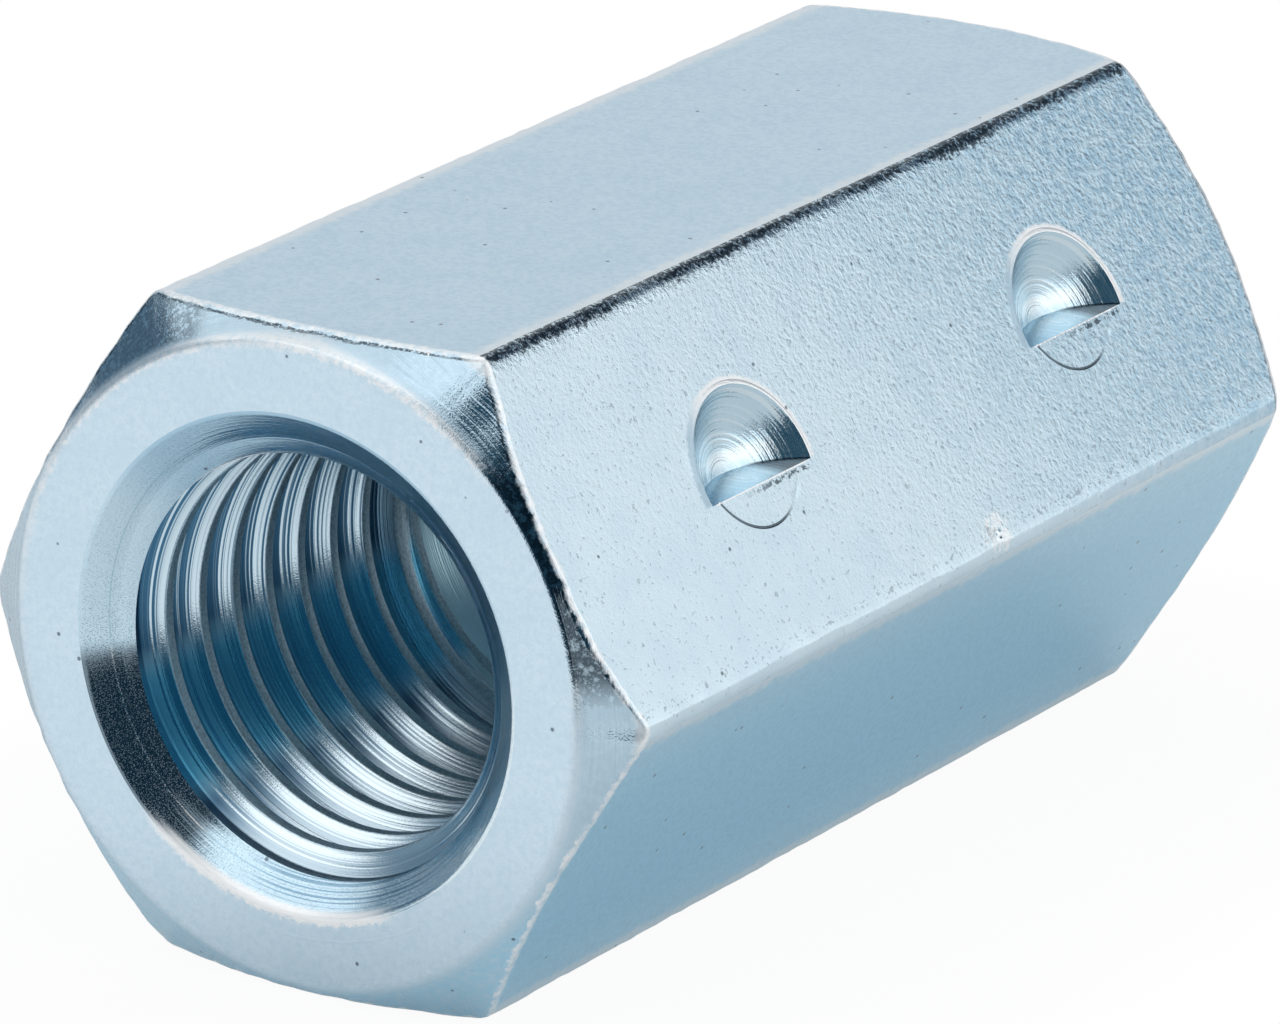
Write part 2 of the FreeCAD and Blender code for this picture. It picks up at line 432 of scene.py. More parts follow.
@dataclass
class TappedEnd:
    """One end of the bore: a countersink and the thread behind it, as the solids that the tools take away.

    The near end is cut right-handed. The far end is its mirror image, so its thread is left-handed.
    """

    half_length: float
    sink_radius: float = 9.05 * MM
    sink_slope: float = 0.78
    sink_round: float = 0.28 * MM
    sink_round_start: float = math.radians(3)
    sink_round_steps: int = 6
    sink_clear: float = 1.0 * MM
    step_radius: float = 8.0 * MM
    step_width: float = 0.16 * MM
    step_depth: float = 0.03 * MM
    lead_slope: float = 0.86
    lead_past_crest: float = 0.5 * MM
    crest_radius: float = 7.22 * MM
    root_radius: float = 8.05 * MM
    pitch: float = 2.0 * MM
    crest_width: float = 0.42 * MM
    crest_break: float = 0.05 * MM
    root_break: float = 0.08 * MM
    first_crest_depth: float = 2.88 * MM
    first_crest_bearing: float = 207.0
    reach: float = 18.0 * MM
    fading_turns: float = 1.7
    lead_in_turns: int = 3
    turn_weld: float = 1e-6
    steps_per_turn: int = 144
    sink_steps: int = 192

    def mouth(self, name: str, end: int) -> bpy.types.Object:
        """Turn the countersink: a shallow cone with a softened rim, a small step and a steeper lead.

        Args:
            name: Name of the cutter.
            end: -1 for the near end, 1 for the far end.

        Returns:
            The closed cutter.
        """
        lean = math.atan(self.sink_slope)
        tangent = self.sink_radius + self.sink_round * math.tan(lean / 2)
        first = self.sink_round_start
        points = [(0.0, -self.sink_clear), (tangent - self.sink_round * math.sin(first), -self.sink_clear)]
        for step in range(self.sink_round_steps + 1):
            turn = first + (lean - first) * step / self.sink_round_steps
            depth = self.sink_round * (1 - math.cos(turn))
            points.append((tangent - self.sink_round * math.sin(turn), depth))
        step_start = self.sink_slope * (self.sink_radius - self.step_radius)
        half_step = self.step_width / 2
        points += [
            (self.step_radius + half_step, step_start - self.sink_slope * half_step),
            (self.step_radius, step_start + self.step_depth),
            (self.step_radius - half_step, step_start + self.lead_slope * half_step),
        ]
        bottom = self.crest_radius - self.lead_past_crest
        floor = step_start + self.lead_slope * (self.step_radius - bottom)
        points += [(bottom, floor), (0.0, floor)]
        bm = bmesh.new()
        edges = chain(bm, [(radius, end * (self.half_length - depth)) for radius, depth in points])
        turn_solid(bm, edges, self.sink_steps)
        close_up(bm, Region.COUNTERSINK)
        return new_object(name, bm)

    def thread_profile(self, bm: bmesh.types.BMesh, along: float) -> list[bmesh.types.BMEdge]:
        """Draw one pitch of the thread, from the middle of a crest to the middle of the next.

        Args:
            bm: Where the profile is drawn.
            along: Place along the bore of the crest edge that faces the middle of the body.

        Returns:
            The profile's edges.
        """
        flank = (self.root_radius - self.crest_radius) * math.tan(math.pi / 6)
        root_width = self.pitch - self.crest_width - 2 * flank
        crest, root, half_crest = self.crest_radius, self.root_radius, self.crest_width / 2
        chain(bm, [
            (crest, along - half_crest), (crest, along), (root, along + flank),
            (root, along + flank + root_width), (crest, along + 2 * flank + root_width),
            (crest, along + self.pitch - half_crest),
        ])
        bm.verts.ensure_lookup_table()
        crest_corners, root_corners = [bm.verts[1], bm.verts[4]], [bm.verts[2], bm.verts[3]]
        for corners, reach in ((root_corners, self.root_break), (crest_corners, self.crest_break)):
            bmesh.ops.bevel(bm, geom=corners, offset=reach, offset_type="OFFSET", affect="VERTICES",
                            segments=3, profile=0.5, material=-1)
        return bm.edges[:]

    def thread(self, name: str, end: int) -> bpy.types.Object:
        """Wind the thread with its grooves fading out at the bottom.

        Args:
            name: Name of the cutter.
            end: -1 for the near end, 1 for the far end.

        Returns:
            The closed cutter, which stands out past the end face.
        """
        bm = bmesh.new()
        at_zero = self.first_crest_depth + self.pitch * self.first_crest_bearing / 360
        start = at_zero - self.lead_in_turns * self.pitch
        turns = math.ceil((self.reach - start) / self.pitch) + 1
        edges = self.thread_profile(bm, start)
        bmesh.ops.spin(bm, geom=bm.verts[:] + edges, cent=(0, 0, 0), axis=BORE_AXIS, angle=math.tau,
                       dvec=BORE_AXIS * self.pitch / self.steps_per_turn, steps=self.steps_per_turn)
        first_turn = bm.verts[:] + bm.edges[:] + bm.faces[:]
        for turn in range(1, turns):
            made = bmesh.ops.duplicate(bm, geom=first_turn)["geom"]
            copied = only(made, bmesh.types.BMVert)
            bmesh.ops.translate(bm, verts=copied, vec=BORE_AXIS * self.pitch * turn)
        bmesh.ops.remove_doubles(bm, verts=bm.verts[:], dist=self.turn_weld)
        for vert in bm.verts:
            radius = math.hypot(vert.co.x, vert.co.z)
            groove = smooth_share((self.reach - vert.co.y) / (self.fading_turns * self.pitch))
            scale = (self.crest_radius + (radius - self.crest_radius) * groove) / radius
            vert.co.x *= scale
            vert.co.z *= scale
        middle = start + turns * self.pitch / 2
        open_edges = open_rims(bm)
        for side in (-1, 1):
            rim = [edge for edge in open_edges if side * (edge.verts[0].co.y - middle) > 0]
            made = bmesh.ops.extrude_edge_only(bm, edges=rim)["geom"]
            tips = only(made, bmesh.types.BMVert)
            centre = sum(vert.co.y for vert in tips) / len(tips)
            bmesh.ops.pointmerge(bm, verts=tips, merge_co=(0, centre, 0))
        for vert in bm.verts:
            vert.co.y = end * (self.half_length - vert.co.y)
        close_up(bm, Region.THREAD)
        return new_object(name, bm)

    def cut(self, body: bpy.types.Object, end: int) -> None:
        """Cut this end into the body."""
        apply_cut(body, self.mouth("mouth", end), Cut.AWAY)
        apply_cut(body, self.thread("thread", end), Cut.AWAY)


@dataclass
class PlainMiddle:
    """The short unthreaded stretch in the middle of the bore."""

    radius: float = 7.3 * MM
    half_length: float = 4.5 * MM
    steps: int = 192

    def cut(self, body: bpy.types.Object) -> None:
        """Bore the plain middle out of the body."""
        bm = bmesh.new()
        edges = chain(bm, [
            (0.0, -self.half_length), (self.radius, -self.half_length), (self.radius, self.half_length),
            (0.0, self.half_length),
        ])
        turn_solid(bm, edges, self.steps)
        close_up(bm, Region.PLAIN_MIDDLE)
        apply_cut(body, new_object("plain_middle", bm), Cut.AWAY)


@dataclass
class DimpledFlat:
    """The upper right flat with two half-round dimples, their scribed arcs and a nick at the lower edge."""

    across_flats: float
    ball_radius: float = 4.13 * MM
    ball_out: float = 12.98 * MM
    ball_height: float = 6.91 * MM
    ball_segments: int = 96
    floor_height: float = 5.17 * MM
    places: tuple[float, float] = (-9.8 * MM, 11.1 * MM)
    ring_steps: int = 128
    lip_section: float = 0.2 * MM
    lip_sides: int = 16
    lip_reach: float = 0.08 * MM
    lip_height: float = 0.02 * MM
    lip_tilt: float = 0.4
    scribe_radius: float = 2.64 * MM
    scribe_shift: float = -0.24 * MM
    scribe_up: float = 0.15 * MM
    scribe_section: float = 0.06 * MM
    scribe_sides: int = 12
    scribe_depth: float = 0.004 * MM
    scribe_tilt: float = 0.6
    nick_along: float = 1.55 * MM
    nick_up: float = -6.28 * MM
    nick_radius: float = 0.5 * MM
    nick_depth: float = 0.1 * MM
    nick_roughness: float = 0.35
    nick_run: float = 0.25 * MM

    @property
    def facing(self) -> Vector:
        """Outward direction of the flat."""
        return Vector((math.cos(math.pi / 6), 0.0, math.sin(math.pi / 6)))

    @property
    def up(self) -> Vector:
        """Direction up the flat, across the bar."""
        return Vector((-math.sin(math.pi / 6), 0.0, math.cos(math.pi / 6)))

    @property
    def rim_up(self) -> float:
        """Height of the dimples' round rims up the flat, from its middle line."""
        return Vector((self.ball_out, 0.0, self.ball_height)).dot(self.up)

    @property
    def rim_radius(self) -> float:
        """Radius of the dimples' round rims."""
        stand_off = Vector((self.ball_out, 0.0, self.ball_height)).dot(self.facing) - self.across_flats / 2
        return math.sqrt(self.ball_radius ** 2 - stand_off ** 2)

    @property
    def chord_up(self) -> float:
        """Height of the dimples' straight lower edges up the flat."""
        return (self.floor_height - self.facing.z * self.across_flats / 2) / self.up.z

    def on_flat(self, along: float, up: float, out: float) -> Matrix:
        """Frame on the flat: its X runs along the bar, Y up the flat and Z out of it."""
        turned = Matrix((BORE_AXIS, self.up, self.facing)).transposed().to_4x4()
        origin = BORE_AXIS * along + self.up * up + self.facing * (self.across_flats / 2 + out)
        return Matrix.Translation(origin) @ turned

    @staticmethod
    def tilted(angle: float) -> Matrix:
        """Tilt in degrees that lifts the side up the flat and towards the far end."""
        return Matrix.Rotation(math.radians(-angle), 4, "Y") @ Matrix.Rotation(math.radians(angle), 4, "X")

    def ball(self, along: float) -> bpy.types.Object:
        """The ball end that cuts a dimple, flattened level below.

        Args:
            along: Place of the dimple along the bar.

        Returns:
            The closed cutter.
        """
        bm = bmesh.new()
        centre = Matrix.Translation((self.ball_out, along, self.ball_height))
        bmesh.ops.create_uvsphere(bm, u_segments=self.ball_segments, v_segments=self.ball_segments // 2,
                                  radius=self.ball_radius, matrix=centre)
        cut_level(bm, self.floor_height)
        close_up(bm, Region.DIMPLE)
        return new_object("dimple_ball", bm)

    def lip(self, along: float) -> bpy.types.Object:
        """The low ridge that the ball pushed up round a dimple, highest towards the far end of the bar."""
        bm = bmesh.new()
        major = self.rim_radius + self.lip_reach
        make_ring(bm, major, self.lip_section, self.ring_steps, self.lip_sides)
        sunk = self.on_flat(along, self.rim_up, self.lip_height - self.lip_section)
        bmesh.ops.transform(bm, matrix=sunk @ self.tilted(self.lip_tilt), verts=bm.verts[:])
        cut_level(bm, self.floor_height)
        close_up(bm, Region.GRIT_FLAT)
        return new_object("dimple_lip", bm)

    def scribe(self, along: float) -> bpy.types.Object:
        """The scribed arc below a dimple, deepest at its near side and fading towards the far side."""
        bm = bmesh.new()
        make_ring(bm, self.scribe_radius, self.scribe_section, self.ring_steps, self.scribe_sides)
        lifted = self.scribe_section - self.scribe_depth
        sunk = self.on_flat(along + self.scribe_shift, self.scribe_up, lifted)
        bmesh.ops.transform(bm, matrix=sunk @ self.tilted(self.scribe_tilt), verts=bm.verts[:])
        close_up(bm, Region.GRIT_FLAT)
        return new_object("scribed_arc", bm)

    def nick(self) -> bpy.types.Object:
        """The small knock just above the flat's lower edge."""
        bm = bmesh.new()
        place = self.on_flat(self.nick_along, self.nick_up, self.nick_radius - self.nick_depth)
        bmesh.ops.create_icosphere(bm, subdivisions=3, radius=self.nick_radius, matrix=place)
        for vert in bm.verts:
            swell = self.nick_roughness * noise.noise(vert.co / self.nick_run)
            vert.co += (vert.co - place.translation) * swell
        close_up(bm, Region.GRIT_FLAT)
        return new_object("nick", bm)

    def cut(self, body: bpy.types.Object) -> None:
        """Raise the lips, then cut the dimples, the scribed arcs and the nick."""
        for along in self.places:
            apply_cut(body, self.lip(along), Cut.ONTO)
            apply_cut(body, self.scribe(along), Cut.AWAY)
            apply_cut(body, self.ball(along), Cut.AWAY)
        apply_cut(body, self.nick(), Cut.AWAY)


Number = Union[float, "Signal"]


class Signal:
    """One output socket of a shader graph, with arithmetic that adds Math nodes."""

    def __init__(self, graph: "Graph", socket: bpy.types.NodeSocket) -> None:
        """Keep the socket and the graph that it belongs to."""
        self.graph = graph
        self.socket = socket

    def __add__(self, other: Number) -> "Signal":
        """Add."""
        return self.graph.math("ADD", self, other)

    def __radd__(self, other: Number) -> "Signal":
        """Add, with the number first."""
        return self.graph.math("ADD", other, self)

    def __sub__(self, other: Number) -> "Signal":
        """Subtract."""
        return self.graph.math("SUBTRACT", self, other)

    def __rsub__(self, other: Number) -> "Signal":
        """Subtract from a number."""
        return self.graph.math("SUBTRACT", other, self)

    def __mul__(self, other: Number) -> "Signal":
        """Multiply."""
        return self.graph.math("MULTIPLY", self, other)

    def __rmul__(self, other: Number) -> "Signal":
        """Multiply, with the number first."""
        return self.graph.math("MULTIPLY", other, self)

    def __truediv__(self, other: Number) -> "Signal":
        """Divide."""
        return self.graph.math("DIVIDE", self, other)

    def __neg__(self) -> "Signal":
        """Turn the sign round."""
        return self.graph.math("MULTIPLY", self, -1.0)

    def __abs__(self) -> "Signal":
        """Drop the sign."""
        return self.graph.math("ABSOLUTE", self)


@dataclass(frozen=True)
class Grain:
    """Cloudy noise: the size of its lumps in metres, its layers of finer detail and how strong they are."""

    size: float
    detail: float = 2.0
    roughness: float = 0.5


class Graph:
    """A node tree that is written as Python expressions."""

    def __init__(self, tree: bpy.types.NodeTree) -> None:
        """Start from an empty tree."""
        self.tree = tree
        tree.nodes.clear()

    def node(self, kind: str, settings: dict[str, Any] | None = None,
             sockets: dict[str | int, Any] | None = None) -> bpy.types.Node:
        """Add one node.

        Args:
            kind: Blender's name of the node's type.
            settings: Properties of the node, set first.
            sockets: Values or signals for its inputs, by name or number.

        Returns:
            The node.
        """
        made = self.tree.nodes.new(kind)
        for name, value in (settings or {}).items():
            setattr(made, name, value)
        for key, value in (sockets or {}).items():
            self.feed(made.inputs[key], value)
        return made

    def feed(self, socket: bpy.types.NodeSocket, value: Any) -> None:
        """Link a signal to a socket, or set the socket's own value."""
        if isinstance(value, Signal):
            self.tree.links.new(value.socket, socket)
        else:
            socket.default_value = value

    def out(self, node: bpy.types.Node, output: str | int = 0) -> Signal:
        """Take one output of a node as a signal."""
        return Signal(self, node.outputs[output])

    def math(self, operation: str, *values: Number) -> Signal:
        """Add a Math node."""
        return self.out(self.node("ShaderNodeMath", {"operation": operation}, dict(enumerate(values))))

    def dot(self, vector: Signal, direction: Sequence[float]) -> Signal:
        """Measure a vector along a fixed direction."""
        sockets = {0: vector, 1: tuple(direction)}
        return self.out(self.node("ShaderNodeVectorMath", {"operation": "DOT_PRODUCT"}, sockets), "Value")

    def stretch(self, vector: Signal, scale: Sequence[float]) -> Signal:
        """Multiply a vector's three parts by fixed numbers."""
        sockets = {0: vector, 1: tuple(scale)}
        return self.out(self.node("ShaderNodeVectorMath", {"operation": "MULTIPLY"}, sockets))

    def ease(self, value: Signal, low: float, high: float) -> Signal:
        """Ease from 0 at low to 1 at high; low may be the larger."""
        made = self.node("ShaderNodeMapRange", {"interpolation_type": "SMOOTHSTEP"}, {
            "Value": value, "From Min": min(low, high), "From Max": max(low, high),
            "To Min": 0.0 if low < high else 1.0, "To Max": 1.0 if low < high else 0.0,
        })
        return self.out(made)

    def blend(self, share: Number, first: Any, second: Any) -> Signal:
        """Mix two colours: the first at share 0, the second at share 1."""
        made = self.node("ShaderNodeMix", {"data_type": "RGBA"}, {0: share, 6: first, 7: second})
        return self.out(made, 2)

    def noise(self, vector: Signal, grain: Grain) -> Signal:
        """Cloudy noise, from 0 to 1."""
        made = self.node("ShaderNodeTexNoise", {"noise_dimensions": "3D"}, {
            "Vector": vector, "Scale": 1.0 / grain.size, "Detail": grain.detail, "Roughness": grain.roughness,
        })
        return self.out(made, "Fac")

    def lines(self, along: Signal, size: float, detail: float = 2.0, roughness: float = 0.6) -> Signal:
        """Noise in one direction only: parallel lines about size metres apart, from 0 to 1."""
        made = self.node("ShaderNodeTexNoise", {"noise_dimensions": "1D"}, {
            "W": along, "Scale": 1.0 / size, "Detail": detail, "Roughness": roughness,
        })
        return self.out(made, "Fac")

    def cells(self, vector: Signal, size: float) -> tuple[Signal, Signal]:
        """Scattered points about size metres apart.

        Args:
            vector: Where the pattern is read.
            size: Spacing in metres.

        Returns:
            The distance to the nearest point, in spacings, and a number of its own for each point.
        """
        made = self.node("ShaderNodeTexVoronoi", {"voronoi_dimensions": "3D", "feature": "F1"}, {
            "Vector": vector, "Scale": 1.0 / size, "Randomness": 1.0,
        })
        split = self.node("ShaderNodeSeparateColor", {}, {"Color": self.out(made, "Color")})
        return self.out(made, "Distance"), self.out(split, "Red")


def grey(level: float) -> tuple[float, float, float, float]:
    """A neutral colour."""
    return (level, level, level, 1.0)


def opaque(colour: Colour) -> tuple[float, float, float, float]:
    """A colour with full alpha."""
    return (*colour, 1.0)


class ToolMarks(Enum):
    """Which way a tool has left its lines."""

    RINGS = "rings about the bore, seen from the end"
    HELIX = "along the thread"
    HOOPS = "hoops round the bore"
    DIMPLE_RINGS = "rings about each dimple"


@dataclass(frozen=True)
class PartSizes:
    """The part's forms that finishes are measured from."""

    bar: HexBar
    tap: TappedEnd
    flat: DimpledFlat


@dataclass(frozen=True)
class Border:
    """A soft border: where a mark starts, where it is full, and how far a noise tears it to and fro."""

    start: float
    full: float
    tear: float = 0.0

    def of(self, value: Signal, ragged: Signal | None = None) -> Signal:
        """0 before the border and 1 past it, along a measure."""
        torn = value if ragged is None else value + self.tear * (ragged - 0.5)
        return value.graph.ease(torn, self.start, self.full)


@dataclass(frozen=True)
class Band:
    """A soft band about a middle: half its breadth, half its full core, and how far a noise tears it."""

    middle: float
    outer: float
    inner: float
    tear: float = 0.0

    def of(self, value: Signal, ragged: Signal | None = None) -> Signal:
        """1 in the band and 0 outside, along a measure."""
        torn = value if ragged is None else value + self.tear * (ragged - 0.5)
        return value.graph.ease(abs(torn - self.middle), self.outer, self.inner)


@dataclass(frozen=True)
class Cover:
    """An amount that grows along a measure: the least, and how much more past a border."""

    least: float
    more: float
    border: Border

    def of(self, value: Signal) -> Signal:
        """The amount at a measure."""
        return self.least + self.more * self.border.of(value)


@dataclass(frozen=True)
class Side:
    """A side of the bore: its bearing in degrees from +X towards +Z, and a border in cosines."""

    bearing: float
    border: Border


class SkinPlace:
    """Lengths and angles on the body's skin, as signals in metres and radians."""

    def __init__(self, graph: Graph, sizes: PartSizes) -> None:
        """Read the object coordinates once."""
        self.graph = graph
        self.sizes = sizes
        self.place = graph.out(graph.node("ShaderNodeTexCoord"), "Object")
        self.across = graph.dot(self.place, (1, 0, 0))
        self.along = graph.dot(self.place, (0, 1, 0))
        self.up = graph.dot(self.place, (0, 0, 1))
        self.radius = graph.math("SQRT", self.across * self.across + self.up * self.up)
        self.bearing = graph.math("ARCTAN2", self.up, self.across)

    def facing(self, bearing: float) -> Signal:
        """Cosine of the angle round the bore from a bearing in degrees, counted from +X towards +Z."""
        turn = math.radians(bearing)
        return self.graph.dot(self.place, (math.cos(turn), 0, math.sin(turn))) / self.radius

    def side(self, side: Side, ragged: Signal | None = None) -> Signal:
        """1 on a side of the bore and 0 elsewhere, with a soft border."""
        return side.border.of(self.facing(side.bearing), ragged)

    def from_flat_middle(self) -> Signal:
        """Bearing from the middle of the nearest flat."""
        span = math.pi / 3
        sector = self.bearing / span - 0.5
        return (sector - self.graph.math("ROUND", sector)) * span

    def under_flat(self) -> Signal:
        """How far a place lies below the plane of its flat."""
        reach = self.radius * self.graph.math("COSINE", self.from_flat_middle())
        return self.sizes.bar.across_flats / 2 - reach

    def beside_edge(self) -> Signal:
        """Distance from the nearest long edge, across the flat."""
        reach = self.radius * self.graph.math("SINE", self.from_flat_middle())
        return self.sizes.bar.corner_radius / 2 - abs(reach)

    def past_rim(self) -> Signal:
        """Distance along the bar from the rim of the nearest bevel."""
        bar = self.sizes.bar
        depth = bar.length / 2 - abs(self.along)
        past = depth - (self.radius - bar.face_radius) * math.tan(bar.bevel_angle)
        near = self.graph.math("LESS_THAN", self.along, 0.0)
        for knock in bar.rim_knocks:
            away = (self.bearing - math.radians(knock.bearing)) / math.radians(knock.half_width)
            past = past - near * self.graph.math("MAXIMUM", 1 - away * away, 0.0) * knock.depth
        return past

    def up_flat(self) -> Signal:
        """Height up the dimpled flat from its middle line."""
        return self.graph.dot(self.place, self.sizes.flat.up)

    def beside_dimple(self) -> Signal:
        """Place along the bar from the middle of the nearer dimple, positive towards the far end."""
        first, second = self.sizes.flat.places
        at_second = self.graph.math("GREATER_THAN", self.along, (first + second) / 2)
        return self.along - first - at_second * (second - first)

    def distance(self, beside: Signal, above: Signal) -> Signal:
        """Length of the slanted line over two lengths at right angles."""
        return self.graph.math("SQRT", beside * beside + above * above)

    def across_marks(self, marks: ToolMarks) -> Signal:
        """Measure across tool marks, so that one line keeps one value."""
        if marks is ToolMarks.RINGS:
            return self.radius
        if marks is ToolMarks.HELIX:
            from_below = self.graph.math("ARCTAN2", self.across, -self.up)
            return abs(self.along) - from_below * (self.sizes.tap.pitch / math.tau)
        if marks is ToolMarks.HOOPS:
            return self.along
        return self.distance(self.beside_dimple(), self.up_flat() - self.sizes.flat.rim_up)


@dataclass(frozen=True)
class Wash:
    """A colour laid over a finish, how much of it covers, and the roughness that it brings, if any."""

    colour: Colour
    share: float = 1.0
    roughness: float | None = None


@dataclass
class Look:
    """Colour, roughness and height of a finish while it is put together."""

    graph: Graph
    colour: Signal
    rough: Number
    height: Signal
    lines: Number = 0.5

    def wash(self, mask: Signal, wash: Wash) -> None:
        """Lay a wash over the finish where the mask is 1."""
        self.colour = self.graph.blend(mask * wash.share, self.colour, opaque(wash.colour))
        if wash.roughness is not None:
            self.dull(mask, wash.roughness)

    def dull(self, mask: Signal, roughness: float) -> None:
        """Draw the roughness towards a value where the mask is 1."""
        self.rough = self.rough + mask * (roughness - self.rough)


# dark blue-grey for real dirt and specks, and for painted shade in the pits, on the dimple floors, in the
# countersink, beside the thread's crests and along the dimpled flat's upper edge
DIRT_AND_SHADE: Colour = (0.05, 0.075, 0.10)
# near black painted shade: dark reflections on the bevels and the shadow line beside the rim
PAINTED_SHADE: Colour = (0.02, 0.035, 0.05)
# near white: rubbed bare zinc on the bevel rims, and elsewhere a painted highlight on edges, lips and beads
BARE_AND_HIGHLIGHT: Colour = (0.92, 0.94, 0.95)
# painted highlight along the lower lip of the countersink, and the side of the bore where it lies
SINK_LIP_HIGHLIGHT = Wash(BARE_AND_HIGHLIGHT, 1.0, 0.4)
SINK_LIP_SIDE = Side(262, Border(0.78, 0.9))


@dataclass(frozen=True)
class ZincFinish:
    """Blue-passivated zinc plate over one kind of worked steel."""

    name: str
    marks: ToolMarks | None = None
    tint: Colour = (0.60, 0.735, 0.825)
    deep_tint: Colour = (0.50, 0.66, 0.78)
    roughness: float = 0.2
    mottle: float = 0.25
    mottle_grain: Grain = Grain(2.2 * MM, 2.0, 0.6)
    mottle_border: Border = Border(0.38, 0.68)
    dapple: float = 0.25
    dapple_grain: Grain = Grain(0.13 * MM, 2.0, 0.7)
    dapple_border: Border = Border(0.35, 0.68)
    speckle_grain: Grain = Grain(0.065 * MM, 1.0)
    speckle_height: float = 0.004 * MM
    line_size: float = 0.10 * MM
    line_height: float = 0.004 * MM
    speck_share: float = 0.10
    speck_spacing: float = 0.9 * MM
    speck_choice: float = 0.02
    speck_border: Border = Border(0.11, 0.06)
    speck: Wash = Wash(DIRT_AND_SHADE, 0.75)
    rim_grain: Grain = Grain(0.4 * MM, 2.0, 0.6)
    rim_border: Border = Border(0.3 * MM, 0.09 * MM, -0.4 * MM)
    rim_least: float = 0.25
    rim_roughness: float = 0.45
    # rubbed bare zinc on the bevel's rim, with a painted highlight on its rounding
    rubbed_highlight: Wash = Wash(BARE_AND_HIGHLIGHT)

    def work(self, skin: SkinPlace, look: Look) -> None:
        """Add what this surface alone has; a plain surface has nothing."""

    def brighten_rim(self, skin: SkinPlace, look: Look, gap: Signal) -> None:
        """Brighten the rim of the bevel unevenly: rubbed bare zinc with a painted highlight on its rounding.

        Args:
            skin: Places on the skin.
            look: The finish so far.
            gap: Distance from the rim.
        """
        ragged = skin.graph.noise(skin.place, self.rim_grain)
        near = self.rim_border.of(gap, ragged)
        look.wash(near * (self.rim_least + ragged), self.rubbed_highlight)
        look.dull(near, self.rim_roughness)

    def specks(self, skin: SkinPlace, look: Look) -> None:
        """Scatter small dark specks."""
        nearness, own = skin.graph.cells(skin.place, self.speck_spacing)
        first = 1.0 - self.speck_share
        some = skin.graph.ease(own, first, first + self.speck_choice)
        look.wash(self.speck_border.of(nearness) * some, self.speck)

    def build(self, sizes: PartSizes) -> bpy.types.Material:
        """Make the material.

        Args:
            sizes: The part's forms that its marks follow.

        Returns:
            The finished material.
        """
        material = bpy.data.materials.new(self.name)
        material.use_nodes = True
        graph = Graph(material.node_tree)
        skin = SkinPlace(graph, sizes)
        clouds = (
            (self.mottle, self.mottle_grain, self.mottle_border),
            (self.dapple, self.dapple_grain, self.dapple_border),
        )
        share: Number = 0.0
        for amount, grain, border in clouds:
            if amount:
                share = border.of(graph.noise(skin.place, grain)) * amount + share
        look = Look(
            graph,
            graph.blend(share, opaque(self.tint), opaque(self.deep_tint)),
            self.roughness,
            self.speckle_height * graph.noise(skin.place, self.speckle_grain),
        )
        if self.marks:
            look.lines = graph.lines(skin.across_marks(self.marks), self.line_size)
            look.height = look.height + self.line_height * look.lines
        self.work(skin, look)
        if self.speck_share:
            self.specks(skin, look)
        bump = graph.node("ShaderNodeBump", {}, {"Strength": 1.0, "Distance": 1.0, "Height": look.height})
        shader = graph.node("ShaderNodeBsdfPrincipled", {}, {
            "Base Color": look.colour, "Metallic": 1.0, "Roughness": look.rough, "Normal": graph.out(bump),
        })
        graph.node("ShaderNodeOutputMaterial", {}, {"Surface": graph.out(shader)})
        return material


@dataclass(frozen=True)
class RolledFinish(ZincFinish):
    """Smooth rolled flats: fine grain, a few short scratches, a pale strip along the long edges."""

    # painted shade over the lower flats, which face the floor
    low_border: Border = Border(2 * MM, -2 * MM)
    low: Wash = Wash((0.375, 0.68, 0.85), 0.9)
    # a painted glow on the lower flats near their long edges
    low_edge_border: Border = Border(4.5 * MM, 0.5 * MM)
    low_edge_glow: Wash = Wash((0.62, 0.82, 0.92), 0.25)
    roll_grain: Grain = Grain(0.22 * MM, 3.0, 0.75)
    roll_border: Border = Border(0.42, 0.62)
    rolled: Wash = Wash((0.25, 0.44, 0.60), 0.24)
    strip_grain: Grain = Grain(0.6 * MM, 2.0, 0.6)
    strip_border: Border = Border(1.0 * MM, 0.5 * MM, -0.8 * MM)
    strip: Wash = Wash((0.82, 0.86, 0.88), 0.6)
    scratch_stretch: tuple[float, float, float] = (1.0, 0.16, 1.0)
    scratch_spacing: float = 0.8 * MM
    scratch_border: Border = Border(0.06, 0.03)
    scratch_choice: Border = Border(0.90, 0.91)
    scratch: Wash = Wash((0.85, 0.89, 0.91), 0.5)

    def work(self, skin: SkinPlace, look: Look) -> None:
        """Add the painted shade of the lower flats with a painted glow near their edges, the grain, the pale
        strips, the bright rims and the scratches.
        """
        graph = skin.graph
        low_side, from_edge = self.low_border.of(skin.up), skin.beside_edge()
        look.wash(low_side, self.low)
        look.wash(low_side * self.low_edge_border.of(from_edge), self.low_edge_glow)
        look.wash(self.roll_border.of(graph.noise(skin.place, self.roll_grain)), self.rolled)
        ragged = graph.noise(skin.place, self.strip_grain)
        look.wash(self.strip_border.of(from_edge, ragged), self.strip)
        self.brighten_rim(skin, look, skin.past_rim())
        slanted = graph.stretch(skin.place, self.scratch_stretch)
        nearness, own = graph.cells(slanted, self.scratch_spacing)
        look.wash(self.scratch_border.of(nearness) * self.scratch_choice.of(own), self.scratch)


